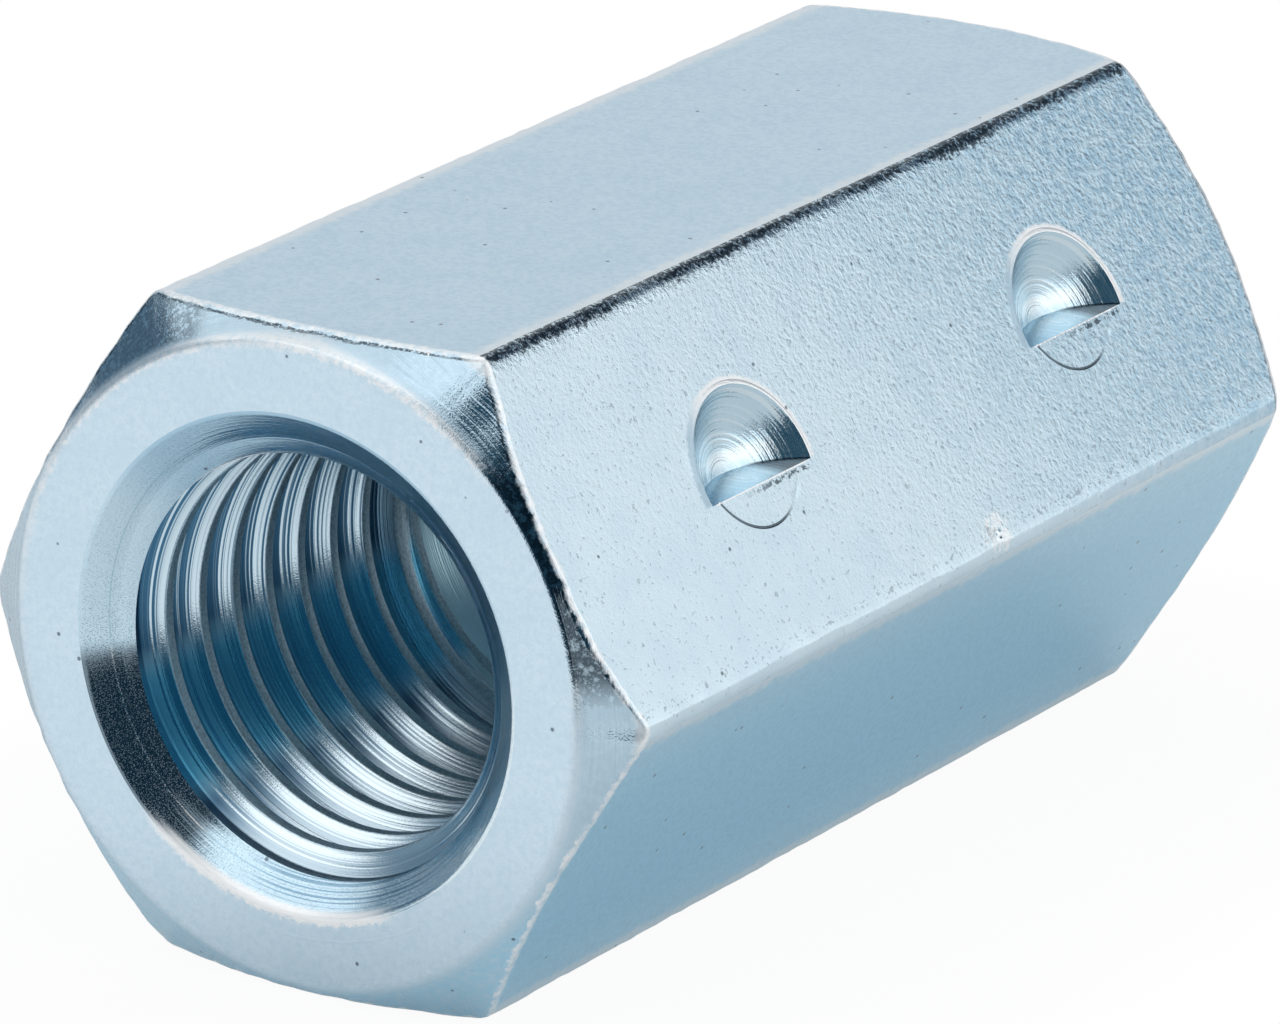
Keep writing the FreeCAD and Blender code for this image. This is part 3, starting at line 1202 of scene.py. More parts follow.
@dataclass(frozen=True)
class EdgeMarks:
    """Marks along the borders of the dimpled flat: dark line, a band of painted dark reflection, and dots."""

    far_line_band: Band = Band(0.15 * MM, 0.13 * MM, 0.05 * MM, -0.5 * MM)
    far_line_end: Border = Border(16 * MM, 20 * MM)
    far_line: Wash = Wash(DIRT_AND_SHADE, 0.6)
    wave_grain: Grain = Grain(3.5 * MM, 1.0)
    wave: float = 1.3 * MM
    thinning: float = 0.14 * MM
    thin_end: Border = Border(-14 * MM, -19 * MM)
    # a painted dark reflection along the rounded upper edge, torn by the grain
    dark_border: Border = Border(0.27 * MM, 0.13 * MM, -1.1 * MM)
    dark_grit: Border = Border(0.38, 0.5)
    dark_reflection: Wash = Wash(DIRT_AND_SHADE, 0.93)
    dots_band: Band = Band(0.62 * MM, 0.2 * MM, 0.06 * MM)
    dots_grit: Border = Border(0.56, 0.62)
    dots: Wash = Wash(DIRT_AND_SHADE, 0.4)

    def draw(self, skin: SkinPlace, look: Look, ragged: Signal, grit: Signal, past_rim: Signal) -> None:
        """Draw the line at the far rim, the painted dark reflection along the upper edge and the dots along
        the lower edge.

        Args:
            skin: Places on the skin.
            look: The finish so far.
            ragged: Noise that tears the marks.
            grit: Noise of the flat's grain.
            past_rim: Distance from the rim of the bevel.
        """
        up, edge_up = skin.up_flat(), skin.sizes.bar.corner_radius / 2
        far_end = self.far_line_end.of(skin.along)
        look.wash(self.far_line_band.of(past_rim, ragged) * far_end, self.far_line)
        waved = self.wave * (skin.graph.noise(skin.place, self.wave_grain) - 0.5)
        inside = edge_up - up - waved + self.thinning * self.thin_end.of(skin.along)
        look.wash(self.dark_border.of(inside, ragged) * self.dark_grit.of(grit), self.dark_reflection)
        look.wash(self.dots_grit.of(grit) * self.dots_band.of(up + edge_up), self.dots)


@dataclass(frozen=True)
class DimpleScars:
    """Marks round the dimples: scribed arcs, torn metal and painted highlights on the edges below, and lips
    above in painted highlight and shade.
    """

    scribe_band: Band = Band(0.0, 0.07 * MM, 0.035 * MM)
    scribe_slant: float = 0.8
    scribe_cover: Cover = Cover(0.12, 0.75, Border(-1.0 * MM, -2.2 * MM))
    scribed: Wash = Wash(DIRT_AND_SHADE)
    torn_band: Band = Band(-0.16 * MM, 0.13 * MM, 0.06 * MM, 0.5 * MM)
    torn_start: Border = Border(-1.6 * MM, 0.8 * MM)
    torn_stop: Border = Border(3.0 * MM, 2.7 * MM)
    torn_grit: Border = Border(0.47, 0.54)
    torn: Wash = Wash(DIRT_AND_SHADE, 0.85)
    # painted highlight along each dimple's straight lower edge
    chord_band: Band = Band(0.0, 0.07 * MM, 0.03 * MM)
    chord_reach: Band = Band(0.0, 2.9 * MM, 2.8 * MM)
    chord_highlight: Wash = Wash(BARE_AND_HIGHLIGHT)
    # the lips: painted shade on their near side, a painted highlight on their far side
    lip_border: Border = Border(0.42 * MM, 0.26 * MM, 0.3 * MM)
    lip_foot: Border = Border(-0.05 * MM, 0.1 * MM)
    lip_slant: float = 0.6
    lip_far: Border = Border(-1.8 * MM, 1.4 * MM)
    lip_roughness: float = 0.5
    near_lip_shade: Wash = Wash((0.42, 0.56, 0.66), 0.7)
    far_lip_highlight: Wash = Wash(BARE_AND_HIGHLIGHT, 0.95)

    def draw(self, skin: SkinPlace, look: Look, ragged: Signal) -> None:
        """Darken the arcs and the torn metal, then paint highlights on the straight edges and on the lips'
        far side, and painted shade on their near side.

        Args:
            skin: Places on the skin.
            look: The finish so far.
            ragged: Noise that tears the marks.
        """
        flat, beside, up = skin.sizes.flat, skin.beside_dimple(), skin.up_flat()
        across, above_arc = beside - flat.scribe_shift, up - flat.scribe_up
        line = self.scribe_band.of(skin.distance(across, above_arc) - flat.scribe_radius)
        look.wash(line * self.scribe_cover.of(across * self.scribe_slant + above_arc), self.scribed)
        above = up - flat.chord_up
        stretch = self.torn_start.of(beside) * self.torn_stop.of(beside)
        look.wash(self.torn_band.of(above, ragged) * stretch * self.torn_grit.of(ragged), self.torn)
        look.wash(self.chord_band.of(above) * self.chord_reach.of(beside), self.chord_highlight)
        over = up - flat.rim_up
        lip = self.lip_border.of(skin.distance(beside, over) - flat.rim_radius, ragged)
        lip = lip * self.lip_foot.of(above)
        far_side = self.lip_far.of(beside + self.lip_slant * over)
        look.wash(lip * (1 - far_side), self.near_lip_shade)
        look.wash(lip * far_side, self.far_lip_highlight)
        look.dull(lip, self.lip_roughness)


@dataclass(frozen=True)
class GritFinish(ZincFinish):
    """The dimpled flat: pitted grain, denser up the flat and towards the far end, and scarred edges."""

    grit: Grain = Grain(0.21 * MM, 3.0, 0.6)
    grit_height: float = 0.026 * MM
    far_cover: Cover = Cover(0.12, 0.9, Border(-16 * MM, 20 * MM))
    high_cover: Cover = Cover(0.0, 0.3, Border(-6 * MM, 5 * MM))
    edge_cover: Cover = Cover(0.0, 0.8, Border(0.8 * MM, 0.4 * MM))
    # darker pits of the grain: dark specks together with painted shade in the hollows
    pit_border: Border = Border(0.37, 0.33)
    pit: Wash = Wash(DIRT_AND_SHADE, 0.35)
    blot_grain: Grain = Grain(0.45 * MM, 2.0, 0.65)
    blot_cover: Cover = Cover(0.42, 0.45, Border(0.42, 0.62))
    blot_slant: float = 0.7
    blot_far: Border = Border(-7 * MM, 22 * MM)
    blot: Wash = Wash((0.36, 0.56, 0.71))
    ragged_grain: Grain = Grain(0.26 * MM, 3.0, 0.7)
    edges: EdgeMarks = EdgeMarks()
    scars: DimpleScars = DimpleScars()
    nick_border: Border = Border(0.8 * MM, 0.6 * MM, -1.4 * MM)
    nick_grit: Border = Border(0.36, 0.5)
    nick: Wash = Wash(BARE_AND_HIGHLIGHT, 0.6)

    def work(self, skin: SkinPlace, look: Look) -> None:
        """Add the grain, the marks of the borders, the scars round the dimples and the bright nick."""
        flat, past_rim = skin.sizes.flat, skin.past_rim()
        grit = skin.graph.noise(skin.place, self.grit)
        ragged = skin.graph.noise(skin.place, self.ragged_grain)
        self.roughen(skin, look, grit)
        self.brighten_rim(skin, look, past_rim)
        self.edges.draw(skin, look, ragged, grit, past_rim)
        self.scars.draw(skin, look, ragged)
        away = skin.distance(skin.along - flat.nick_along, skin.up_flat() - flat.nick_up)
        look.wash(self.nick_border.of(away, ragged) * self.nick_grit.of(ragged), self.nick)

    def roughen(self, skin: SkinPlace, look: Look, grit: Signal) -> None:
        """Raise the grain, darken its pits with specks and painted shade, and deepen the colour towards the
        far end.

        Args:
            skin: Places on the skin.
            look: The finish so far.
            grit: Noise of the flat's grain.
        """
        up = skin.up_flat()
        below_edge = skin.sizes.bar.corner_radius / 2 - up
        amount = self.far_cover.of(skin.along) + self.high_cover.of(up) + self.edge_cover.of(below_edge)
        look.height = look.height + self.grit_height * amount * grit
        look.wash(self.pit_border.of(grit), self.pit)
        blots = self.blot_cover.of(skin.graph.noise(skin.place, self.blot_grain))
        look.wash(blots * self.blot_far.of(skin.along + self.blot_slant * up), self.blot)


@dataclass(frozen=True)
class DimpleFinish(ZincFinish):
    """Ball-cut dimples whose level floors carry painted shade, blue at the near side and black at the far
    side.
    """

    ring_border: Border = Border(0.50, 0.66)
    ring: Wash = Wash((0.82, 0.89, 0.92), 0.4)
    # painted highlight on the cut just above the floor
    glow_band: Band = Band(0.45 * MM, 0.4 * MM, 0.1 * MM)
    glow: Wash = Wash((0.80, 0.87, 0.90), 0.6)
    # painted shade on the dimple floors, blue at the near side and black at the far side
    floor_border: Border = Border(0.06 * MM, 0.02 * MM)
    near_border: Border = Border(-0.6 * MM, -3.2 * MM)
    near_floor_shade: Wash = Wash((0.16, 0.36, 0.52), 0.8)
    far_border: Border = Border(0.9 * MM, 1.9 * MM)
    far_floor_shade: Wash = Wash(DIRT_AND_SHADE, 0.92)

    def work(self, skin: SkinPlace, look: Look) -> None:
        """Brighten the cut rings, paint a highlight on the cut just above the floors, then paint shade on the
        floors.
        """
        beside, above = skin.beside_dimple(), skin.up - skin.sizes.flat.floor_height
        floor = self.floor_border.of(above)
        look.wash(self.ring_border.of(look.lines), self.ring)
        look.wash(self.glow_band.of(above), self.glow)
        look.wash(floor * self.near_border.of(beside), self.near_floor_shade)
        look.wash(floor * self.far_border.of(beside), self.far_floor_shade)


@dataclass(frozen=True)
class TurnedFinish(ZincFinish):
    """Turned end faces and bevels: painted shade on the bevels, a rubbed rim with a painted highlight and a
    painted shadow line beside it, painted highlights on the lips.

    Places across an end are measured outwards from the edge of its flat face.
    """

    rim_border: Border = Border(0.15 * MM, 0.045 * MM, -0.4 * MM)
    torn_grain: Grain = Grain(0.3 * MM, 3.0, 0.7)
    # painted shade over the whole bevel
    bevel_border: Border = Border(0.0, 0.55 * MM)
    bevel_line_height: float = 0.010 * MM
    bevel: Wash = Wash((0.40, 0.56, 0.67), 0.7)
    # painted shade, bluer, low down on the bevel where it reflects the floor
    low_border: Border = Border(-4 * MM, -9 * MM)
    low_start: Border = Border(-0.15 * MM, 0.45 * MM)
    low: Wash = Wash((0.40, 0.68, 0.84), 0.7)
    # painted dark reflection on the bevel beside the dimpled flat
    right_side: Side = Side(27, Border(0.915, 0.955, 0.1))
    right_start: Border = Border(-0.03 * MM, 0.09 * MM, 0.3 * MM)
    right_cover: Cover = Cover(0.78, 0.2, Border(0.36, 0.50))
    right_shade: Wash = Wash(PAINTED_SHADE)
    # painted dark reflection on the top left of the bevel
    top_left_side: Side = Side(124, Border(0.965, 0.98))
    top_left_grit: Border = Border(0.38, 0.56)
    top_left_shade: Wash = Wash(PAINTED_SHADE, 0.8)
    left_side: Side = Side(168, Border(0.55, 0.85))
    left_start: Border = Border(0.05 * MM, 0.35 * MM)
    left_cover: Cover = Cover(0.2, 0.5, Border(0.44, 0.58))
    left_shade: Wash = Wash((0.22, 0.30, 0.37))
    # painted shadow line in the crease beside the rim
    crease_shade_band: Band = Band(0.14 * MM, 0.045 * MM, 0.025 * MM, -0.2 * MM)
    crease_shade_grit: Border = Border(0.36, 0.46)
    crease_shade_up: Border = Border(3 * MM, 9 * MM)
    crease_shade: Wash = Wash(PAINTED_SHADE, 0.95)
    # painted highlight bead at the corners on the right
    corner_border: Border = Border(1.7 * MM, 2.0 * MM, 0.7 * MM)
    corner_side: Side = Side(20, Border(0.6, 0.8))
    corner_highlight: Wash = Wash(BARE_AND_HIGHLIGHT, 0.8, 0.45)
    dull_band: Band = Band(0.1 * MM, 0.45 * MM, 0.15 * MM)
    dull_roughness: float = 0.34
    # painted highlight ring at the rounded edge of the face
    pale_band: Band = Band(0.08 * MM, 0.3 * MM, 0.08 * MM, -0.5 * MM)
    pale_stop: Border = Border(0.38 * MM, 0.18 * MM)
    pale_cover: Cover = Cover(0.1, 0.65, Border(-2 * MM, 8 * MM))
    pale_highlight: Wash = Wash((0.90, 0.91, 0.91))
    cloud_border: Border = Border(0.42, 0.66)
    cloud_share: float = 0.6
    lip_border: Border = Border(0.34 * MM, 0.12 * MM, 0.6 * MM)

    def work(self, skin: SkinPlace, look: Look) -> None:
        """Paint shade on the bevel, brighten its rim, then add the rings of the face and the painted
        highlight on the lip of the countersink.
        """
        out = skin.radius - skin.sizes.bar.face_radius
        torn = skin.graph.noise(skin.place, self.torn_grain)
        right = skin.side(self.right_side, torn)
        self.shade_bevel(skin, look, out, torn, right)
        self.paint_rim(skin, look, out, torn)
        self.ring_face(skin, look, out, torn, right)
        past_sink = skin.radius - skin.sizes.tap.sink_radius
        look.wash(self.lip_border.of(past_sink, torn) * skin.side(SINK_LIP_SIDE), SINK_LIP_HIGHLIGHT)

    def shade_bevel(self, skin: SkinPlace, look: Look, out: Signal, torn: Signal, right: Signal) -> None:
        """Deepen the bevel's lines and paint shade over it, bluer low down, and darker on its right, top left
        and left stretches.

        Args:
            skin: Places on the skin.
            look: The finish so far.
            out: Distance outwards from the edge of the flat face.
            torn: Noise that tears the marks.
            right: 1 on the right of the end, beside the dimpled flat.
        """
        bevel = self.bevel_border.of(out)
        look.height = look.height + self.bevel_line_height * bevel * look.lines
        look.wash(bevel, self.bevel)
        look.wash(self.low_border.of(skin.up) * self.low_start.of(out), self.low)
        look.wash(right * self.right_start.of(out, torn) * self.right_cover.of(torn), self.right_shade)
        top_left = bevel * skin.side(self.top_left_side)
        look.wash(top_left * self.top_left_grit.of(torn), self.top_left_shade)
        left = skin.side(self.left_side) * self.left_start.of(out)
        look.wash(left * self.left_cover.of(torn), self.left_shade)

    def paint_rim(self, skin: SkinPlace, look: Look, out: Signal, torn: Signal) -> None:
        """Brighten the rim, rubbed and with a painted highlight, with a painted shadow line beside it and a
        painted highlight bead at each corner on the right.

        Args:
            skin: Places on the skin.
            look: The finish so far.
            out: Distance outwards from the edge of the flat face.
            torn: Noise that tears the marks.
        """
        gap = skin.under_flat()
        self.brighten_rim(skin, look, gap)
        crease_shade = self.crease_shade_band.of(gap, torn) * self.crease_shade_grit.of(torn) * self.crease_shade_up.of(skin.up)
        look.wash(crease_shade, self.crease_shade)
        look.wash(self.corner_border.of(out, torn) * skin.side(self.corner_side), self.corner_highlight)

    def ring_face(self, skin: SkinPlace, look: Look, out: Signal, torn: Signal, right: Signal) -> None:
        """Draw the dull ring and the pale ring of painted highlight at the edge of the face, and the clouds
        on it.

        Args:
            skin: Places on the skin.
            look: The finish so far.
            out: Distance outwards from the edge of the flat face.
            torn: Noise that tears the marks.
            right: 1 on the right of the end, where there are no rings.
        """
        look.dull(self.dull_band.of(out) * (1 - right), self.dull_roughness)
        pale_highlight = self.pale_band.of(out, torn) * self.pale_stop.of(out) * (1 - right)
        look.wash(pale_highlight * self.pale_cover.of(skin.up), self.pale_highlight)
        look.wash(self.cloud_border.of(torn), Wash(self.deep_tint, self.cloud_share))


@dataclass(frozen=True)
class SinkFinish(ZincFinish):
    """Countersink with a grainy cut between its turning lines."""

    cut_grain: Grain = Grain(0.045 * MM, 1.0)
    cut_border: Border = Border(0.56, 0.70)
    cut_height: float = 0.004 * MM
    # painted shade on the top of the countersink
    top_side: Side = Side(95, Border(0.55, 0.85))
    top_shade: Wash = Wash((0.28, 0.48, 0.64), 0.6)
    near_side: Side = Side(213, Border(0.88, 0.925))
    near_shade: Wash = Wash(DIRT_AND_SHADE, 0.75)
    # painted highlight on the right side of the countersink
    lit_side: Side = Side(330, Border(0.70, 0.90))
    lit: Wash = Wash((0.88, 0.97, 1.0), 0.6)
    # the turned ring: a painted dark line on the lit side, a painted highlight on the shaded side
    ring_band: Band = Band(8.24 * MM, 0.03 * MM, 0.012 * MM)
    ring: Wash = Wash((0.24, 0.44, 0.57), 0.4)
    ring_highlight_in_shade: Wash = Wash(BARE_AND_HIGHLIGHT, 0.5)
    low_side: Side = Side(283, Border(0.84, 0.95))
    low_lines_border: Border = Border(0.50, 0.60)
    low_lines: Wash = Wash((0.12, 0.27, 0.40), 0.7)
    lip_border: Border = Border(-0.31 * MM, -0.13 * MM, 0.02 * MM)
    # painted highlight on the inner edge, where the countersink meets the crests
    inner_border: Border = Border(0.2 * MM, 0.08 * MM)
    inner: Wash = Wash(BARE_AND_HIGHLIGHT, 0.8)

    def work(self, skin: SkinPlace, look: Look) -> None:
        """Raise the grains, paint shade on the top and the near side and light on the right, draw the turned
        ring in painted light and shade, and paint highlights on the edges.
        """
        tap, shaded = skin.sizes.tap, skin.side(self.near_side)
        grains = self.cut_border.of(skin.graph.noise(skin.place, self.cut_grain))
        look.height = look.height + self.cut_height * grains
        look.wash(skin.side(self.top_side), self.top_shade)
        look.wash(shaded, self.near_shade)
        look.wash(skin.side(self.lit_side), self.lit)
        ring = self.ring_band.of(skin.radius)
        look.wash(ring * (1 - shaded), self.ring)
        look.wash(ring * shaded, self.ring_highlight_in_shade)
        look.wash(self.low_lines_border.of(look.lines) * skin.side(self.low_side), self.low_lines)
        past_sink = skin.radius - tap.sink_radius
        look.wash(self.lip_border.of(past_sink, look.lines) * skin.side(SINK_LIP_SIDE), SINK_LIP_HIGHLIGHT)
        look.wash(self.inner_border.of(skin.radius - tap.crest_radius), self.inner)


@dataclass(frozen=True)
class ThreadFinish(ZincFinish):
    """Tapped thread: painted light on the low side, painted shade that deepens the grooves to blue in fine
    lines, and dull crests with a painted sheen and painted burr shadows.
    """

    # painted highlight on the low side of the thread
    low_side: Side = Side(288, Border(0.5, 0.85))
    lit: Wash = Wash((0.84, 0.94, 0.98), 0.6)
    # painted shade deep in the grooves
    groove_border: Border = Border(0.14 * MM, 0.62 * MM, 2.2 * MM)
    groove_most: float = 0.95
    groove_lit: float = 0.6
    groove_roughness: float = 0.42
    groove: Wash = Wash((0.04, 0.17, 0.31))
    near_side: Side = Side(212, Border(0.925, 0.98))
    near_end: Border = Border(3 * MM, -3 * MM)
    near_cover: float = 0.8
    near_shade: Wash = Wash((0.14, 0.54, 0.78))
    # a painted sheen on the crests
    crest_border: Border = Border(0.05 * MM, 0.02 * MM)
    crest: Wash = Wash((0.66, 0.84, 0.93), 1.0, 0.5)
    # painted burr shadow at the edges of the crests
    burr_grain: Grain = Grain(0.12 * MM, 2.0, 0.7)
    burr_border: Border = Border(0.08 * MM, 0.03 * MM)
    burr_grit: Border = Border(0.46, 0.62)
    burr_shadow: Wash = Wash(DIRT_AND_SHADE, 0.25)

    def work(self, skin: SkinPlace, look: Look) -> None:
        """Paint light on the low side and shade in the grooves, and draw the crests with a painted sheen and
        painted burr shadows at their edges.
        """
        over, low_side = skin.radius - skin.sizes.tap.crest_radius, skin.side(self.low_side)
        look.wash(low_side, self.lit)
        groove = self.groove_border.of(over, look.lines) * (self.groove_most - self.groove_lit * low_side)
        shaded = skin.side(self.near_side) * self.near_end.of(skin.along)
        look.wash(groove * (1 - self.near_cover * shaded), self.groove)
        look.dull(groove, self.groove_roughness)
        look.wash(shaded, self.near_shade)
        look.wash(self.crest_border.of(over), self.crest)
        torn = self.burr_grit.of(skin.graph.noise(skin.place, self.burr_grain))
        look.wash(self.burr_border.of(over) * torn, self.burr_shadow)


FINISHES: dict[Region, ZincFinish] = {
    Region.ROLLED_FLAT: RolledFinish(
        "zinc_rolled_flat", tint=(0.56, 0.735, 0.865), deep_tint=(0.32, 0.52, 0.69), roughness=0.28,
        mottle=0.1, dapple=0.0, speck_share=0.25,
    ),
    Region.GRIT_FLAT: GritFinish(
        "zinc_grit_flat", tint=(0.65, 0.80, 0.885), dapple=0.1, speckle_height=0.003 * MM,
    ),
    Region.TURNED_END: TurnedFinish(
        "zinc_turned_end", ToolMarks.RINGS, tint=(0.63, 0.775, 0.88), deep_tint=(0.53, 0.69, 0.80),
        roughness=0.12, dapple=0.3, speckle_height=0.008 * MM, line_height=0.008 * MM, speck_share=0.2,
    ),
    Region.COUNTERSINK: SinkFinish(
        "zinc_countersink", ToolMarks.RINGS, tint=(0.55, 0.72, 0.83), deep_tint=(0.44, 0.64, 0.77),
        roughness=0.10, mottle=0.0, speckle_height=0.003 * MM, line_height=0.008 * MM,
    ),
    Region.THREAD: ThreadFinish(
        "zinc_thread", ToolMarks.HELIX, tint=(0.62, 0.78, 0.87), roughness=0.16, mottle=0.0, dapple=0.0,
        speckle_height=0.003 * MM, line_size=0.07 * MM, line_height=0.014 * MM, speck_share=0.0,
    ),
    # the bright cyan tint of the plain middle is partly painted light that lifts it inside the dark bore
    Region.PLAIN_MIDDLE: ZincFinish(
        "zinc_plain_middle", ToolMarks.HOOPS, tint=(0.62, 0.91, 1.0), deep_tint=(0.52, 0.82, 0.94),
        roughness=0.28, mottle=0.0, line_height=0.02 * MM, speck_share=0.0,
    ),
    Region.DIMPLE: DimpleFinish(
        "zinc_dimple", ToolMarks.DIMPLE_RINGS, tint=(0.54, 0.70, 0.79), deep_tint=(0.42, 0.61, 0.73),
        roughness=0.18, mottle=0.0, speckle_height=0.006 * MM, line_size=0.22 * MM, line_height=0.03 * MM,
        speck_share=0.0,
    ),
}


@dataclass
class TurnbuckleBody:
    """The whole part: one piece of steel that stands for the frame's node."""

    bar: HexBar
    tap: TappedEnd
    middle: PlainMiddle
    flat: DimpledFlat
    crease: float = math.radians(32)

    def build(self) -> bpy.types.Object:
        """Make the bar and cut everything out of it.

        Returns:
            The finished piece, with no material yet.
        """
        body = self.bar.build("hex_turnbuckle_body")
        for region in Region:
            body.data.materials.append(None)
        for end in (-1, 1):
            self.tap.cut(body, end)
        self.middle.cut(body)
        self.flat.cut(body)
        body.data.shade_smooth()
        body.data.set_sharp_from_angle(angle=self.crease)
        self.crease_borders(body)
        return body

    @staticmethod
    def crease_borders(body: bpy.types.Object) -> None:
        """Keep the shading of the skin apart from the shading of what is cut into it."""
        cut = {Region.COUNTERSINK, Region.THREAD, Region.PLAIN_MIDDLE, Region.DIMPLE}
        bm = bmesh.new()
        bm.from_mesh(body.data)
        for edge in bm.edges:
            kinds = {face.material_index for face in edge.link_faces}
            if len(kinds) > 1 and kinds & cut:
                edge.smooth = False
        bm.to_mesh(body.data)
        bm.free()

    def dress(self, body: bpy.types.Object) -> None:
        """Give each region its finish."""
        sizes = PartSizes(self.bar, self.tap, self.flat)
        for region, finish in FINISHES.items():
            body.data.materials[region] = finish.build(sizes)

    def seat(self, body: bpy.types.Object) -> None:
        """Let the piece ride on the frame in place of the plain node."""
        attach(body, "root")
        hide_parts(NODE)


@dataclass(frozen=True)
class SoftPatch:
    """A soft-edged patch of the studio, by degrees of bearing from the front (-Y to +X) and of height."""

    bearing: float
    half_width: float
    height: float
    half_height: float
    edge: float
    colour: Colour


@dataclass
class Studio:
    """Pale floor, soft white room with a few dark gaps between its panels, one soft lamp and the camera."""

    floor_height: float
    part_reach: tuple[float, float]
    floor_radius: float = 3.0
    floor_sides: int = 96
    floor_colour: float = 0.8
    white_share_seen: float = 0.94
    white_share_mirrored: float = 0.2
    white_share_front: float = 0.6
    shadow_border: Border = Border(14 * MM, 5 * MM)
    front_bearing: float = -30.0
    front_border: Border = Border(15 * MM, 45 * MM)
    table_end: Border = Border(92 * MM, 108 * MM)
    table_side: Border = Border(-10 * MM, 5 * MM)
    # dark backdrop that the floor shows in reflections beyond the table
    dark_reflection: Colour = (0.03, 0.08, 0.12)
    patches: tuple[SoftPatch, ...] = (
        SoftPatch(bearing=213, half_width=24, height=16, half_height=18, edge=8, colour=(0.8, 0.8, 0.8)),
        SoftPatch(bearing=110, half_width=27, height=24, half_height=30, edge=8, colour=(1.4, 1.4, 1.4)),
        SoftPatch(bearing=38, half_width=41, height=10, half_height=34, edge=4, colour=(0.03, 0.08, 0.12)),
        SoftPatch(-74, half_width=28, height=10.5, half_height=18.5, edge=4, colour=(0.17, 0.25, 0.32)),
        SoftPatch(175, half_width=22.5, height=27, half_height=20, edge=4, colour=(0.04, 0.07, 0.11)),
    )
    overhead: float = 1.1
    overhead_border: Border = Border(42.0, 60.0)
    lamp_bearing: float = -35.0
    lamp_height: float = 44.0
    lamp_distance: float = 0.7
    lamp_width: float = 0.66
    lamp_depth: float = 0.5
    lamp_level: float = 0.25
    view_bearing: float = 33.298
    view_height: float = 19.027
    view_roll: float = 0.099
    view_distance: float = 392.2 * MM
    view_target: tuple[float, float, float] = (-0.27 * MM, -0.48 * MM, -0.72 * MM)
    lens: float = 307.38
    film_width: float = 36.0
    nearest_seen: float = 10 * MM

    @staticmethod
    def direction(bearing: float, height: float) -> Vector:
        """Unit vector towards a bearing and height in degrees."""
        turn, lift = math.radians(bearing), math.radians(height)
        return Vector((math.sin(turn) * math.cos(lift), -math.cos(turn) * math.cos(lift), math.sin(lift)))

    def light_path(self, graph: Graph) -> tuple[Signal, Signal]:
        """Two signals: 1 where the camera looks straight at a surface, and 1 where a shiny thing shows it."""
        path = graph.node("ShaderNodeLightPath")
        glossy, through = graph.out(path, "Is Glossy Ray"), graph.out(path, "Is Transmission Ray")
        return graph.out(path, "Is Camera Ray"), graph.math("MAXIMUM", glossy, through)

    def room(self) -> None:
        """Make the world: white all round, with soft dark gaps."""
        world = bpy.data.worlds.new("studio_room")
        bpy.context.scene.world = world
        world.use_nodes = True
        # the patches are broad, so bounced rays find them without being aimed at them
        world.cycles.sampling_method = "NONE"
        graph = Graph(world.node_tree)
        look = graph.out(graph.node("ShaderNodeTexCoord"), "Generated")
        right, front = graph.dot(look, (1, 0, 0)), graph.dot(look, (0, -1, 0))
        height = graph.math("ARCSINE", graph.dot(look, (0, 0, 1))) * math.degrees(1)
        turn = graph.math("ARCTAN2", right, front) * math.degrees(1)
        colour = graph.blend(self.overhead_border.of(height), grey(1.0), grey(self.overhead))
        for patch in self.patches:
            beside = graph.math("PINGPONG", turn - patch.bearing, 180.0)
            above = abs(height - patch.height)
            share = graph.ease(beside, patch.half_width + patch.edge, patch.half_width - patch.edge)
            share = share * graph.ease(above, patch.half_height + patch.edge, patch.half_height - patch.edge)
            colour = graph.blend(share, colour, opaque(patch.colour))
        seen, _ = self.light_path(graph)
        colour = graph.blend(seen, colour, grey(1.0))
        background = graph.node("ShaderNodeBackground", {}, {"Color": colour, "Strength": 1.0})
        graph.node("ShaderNodeOutputWorld", {}, {"Surface": graph.out(background)})

    def floor(self) -> bpy.types.Object:
        """Make the floor, which keeps the part's shadow; in reflections it carries a painted pool of light
        towards the front, and the white table ends in front.

        Returns:
            The floor.
        """
        bm = bmesh.new()
        flat = Matrix.Translation((0, 0, self.floor_height))
        bmesh.ops.create_circle(bm, cap_ends=True, radius=self.floor_radius, segments=self.floor_sides,
                                matrix=flat)
        piece = new_object("studio_floor", bm)
        material = bpy.data.materials.new("studio_floor")
        material.use_nodes = True
        graph = Graph(material.node_tree)
        place = graph.out(graph.node("ShaderNodeTexCoord"), "Object")
        seen, mirrored = self.light_path(graph)
        across, along = graph.dot(place, (1, 0, 0)), graph.dot(place, (0, 1, 0))
        away = graph.math("MAXIMUM", abs(across) - self.part_reach[0], abs(along) - self.part_reach[1])
        shadowed = (1 - self.white_share_seen) * self.shadow_border.of(away)
        # in reflections the floor is painted brighter towards the front: a painted pool of light
        lit = self.front_border.of(graph.dot(place, self.direction(self.front_bearing, 0)))
        towards_view = graph.dot(place, self.direction(self.view_bearing, 0))
        beyond = self.table_end.of(towards_view) * self.table_side.of(across)
        shown = graph.math("MAXIMUM", self.white_share_mirrored + self.white_share_front * lit, beyond)
        share = graph.math("MAXIMUM", seen * (1 - shadowed), mirrored * shown)
        colour = graph.blend(mirrored * beyond, grey(1.0), opaque(self.dark_reflection))
        paint = graph.node("ShaderNodeBsdfDiffuse", {}, {"Color": grey(self.floor_colour)})
        white = graph.node("ShaderNodeEmission", {}, {"Color": colour, "Strength": 1.0})
        mixed = graph.node("ShaderNodeMixShader", {}, {0: share, 1: graph.out(paint), 2: graph.out(white)})
        graph.node("ShaderNodeOutputMaterial", {}, {"Surface": graph.out(mixed)})
        piece.data.materials.append(material)
        return piece

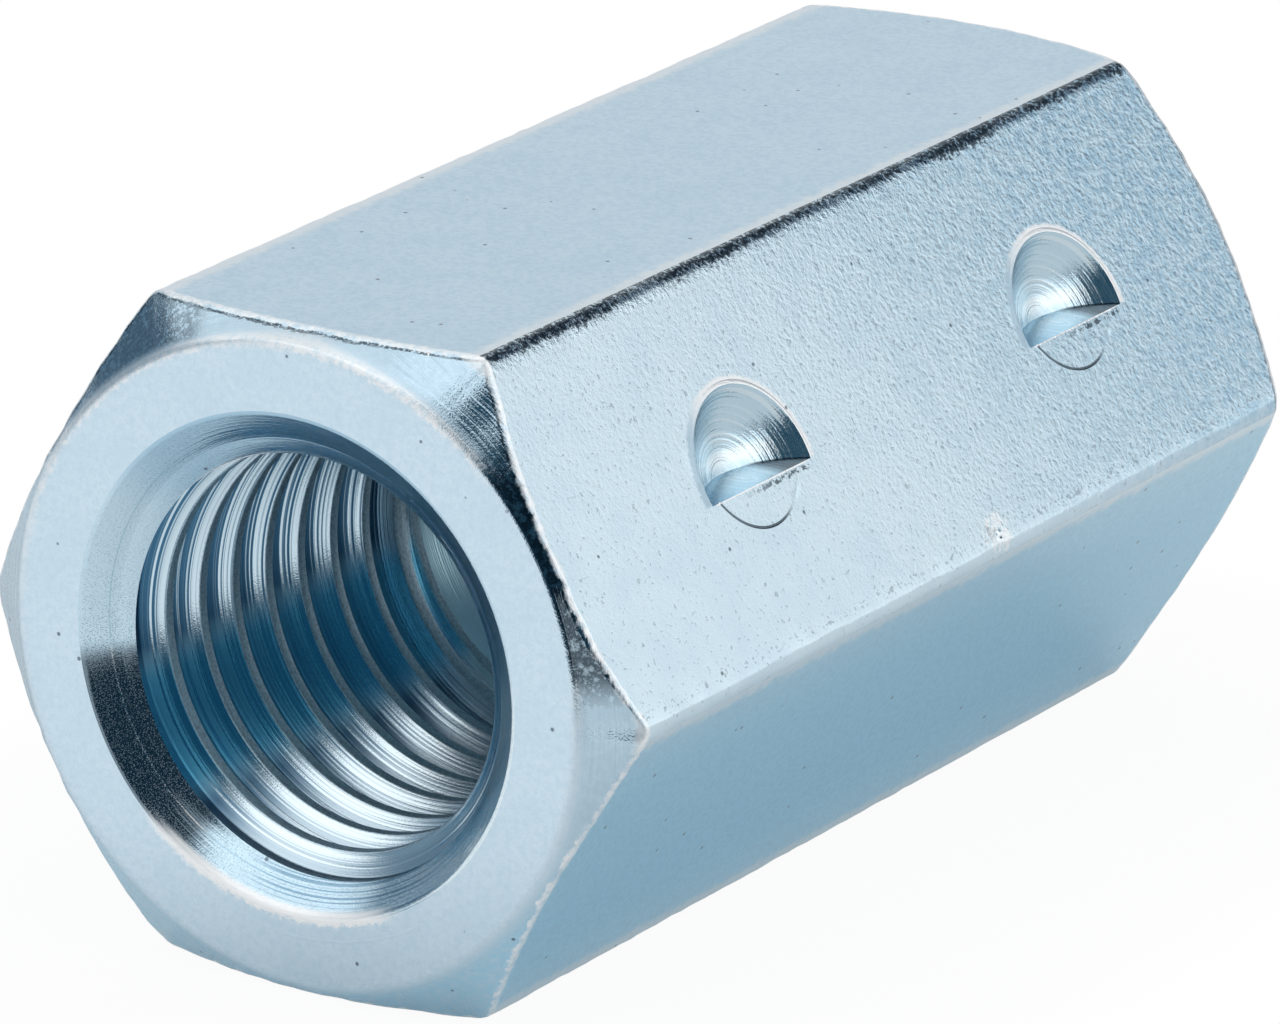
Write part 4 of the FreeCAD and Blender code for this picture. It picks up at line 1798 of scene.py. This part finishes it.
    def lamp(self) -> bpy.types.Object:
        """Hang the one soft lamp, up in front and to the left."""
        light = bpy.data.lights.new("soft_lamp", "AREA")
        light.shape = "RECTANGLE"
        light.size = self.lamp_width
        light.size_y = self.lamp_depth
        light.energy = self.lamp_level * math.pi * self.lamp_width * self.lamp_depth
        lamp = bpy.data.objects.new("soft_lamp", light)
        towards = self.direction(self.lamp_bearing, self.lamp_height)
        aim = towards.to_track_quat("Z", "Y").to_matrix().to_4x4()
        lamp.matrix_world = Matrix.Translation(towards * self.lamp_distance) @ aim
        bpy.context.scene.collection.objects.link(lamp)
        return lamp

    def camera(self) -> bpy.types.Object:
        """Set up the camera at the photograph's viewing angle."""
        eye = bpy.data.cameras.new("view")
        eye.sensor_fit = "HORIZONTAL"
        eye.sensor_width = self.film_width
        eye.lens = self.lens
        eye.clip_start = self.nearest_seen
        camera = bpy.data.objects.new("view", eye)
        back = self.direction(self.view_bearing, self.view_height)
        right = Vector((0, 0, 1)).cross(back).normalized()
        upright = Matrix((right, back.cross(right), back)).transposed().to_4x4()
        roll = Matrix.Rotation(math.radians(self.view_roll), 4, "Z")
        place = Vector(self.view_target) + back * self.view_distance
        camera.matrix_world = Matrix.Translation(place) @ upright @ roll
        bpy.context.scene.collection.objects.link(camera)
        bpy.context.scene.camera = camera
        return camera

    def build(self) -> None:
        """Build the whole studio."""
        bpy.context.scene.view_settings.view_transform = "Standard"
        self.room()
        for made in (self.floor(), self.lamp(), self.camera()):
            LOG.info("%s is set up", made.name)


def main() -> None:
    """Build the part and its studio."""
    logging.basicConfig(level=logging.INFO, format="%(name)s: %(message)s")
    low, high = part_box(NODE)
    size = high - low
    across_flats = size.z - INSIDE
    bar = HexBar(across_flats=across_flats, length=size.y)
    tap = TappedEnd(half_length=size.y / 2)
    part = TurnbuckleBody(bar, tap, PlainMiddle(), DimpledFlat(across_flats=across_flats))
    body = part.build()
    part.dress(body)
    part.seat(body)
    body.data.calc_loop_triangles()
    LOG.info("%s has %d triangles", body.name, len(body.data.loop_triangles))
    Studio(floor_height=low.z, part_reach=(size.x / 2, size.y / 2)).build()


if __name__ == "__main__":
    main()
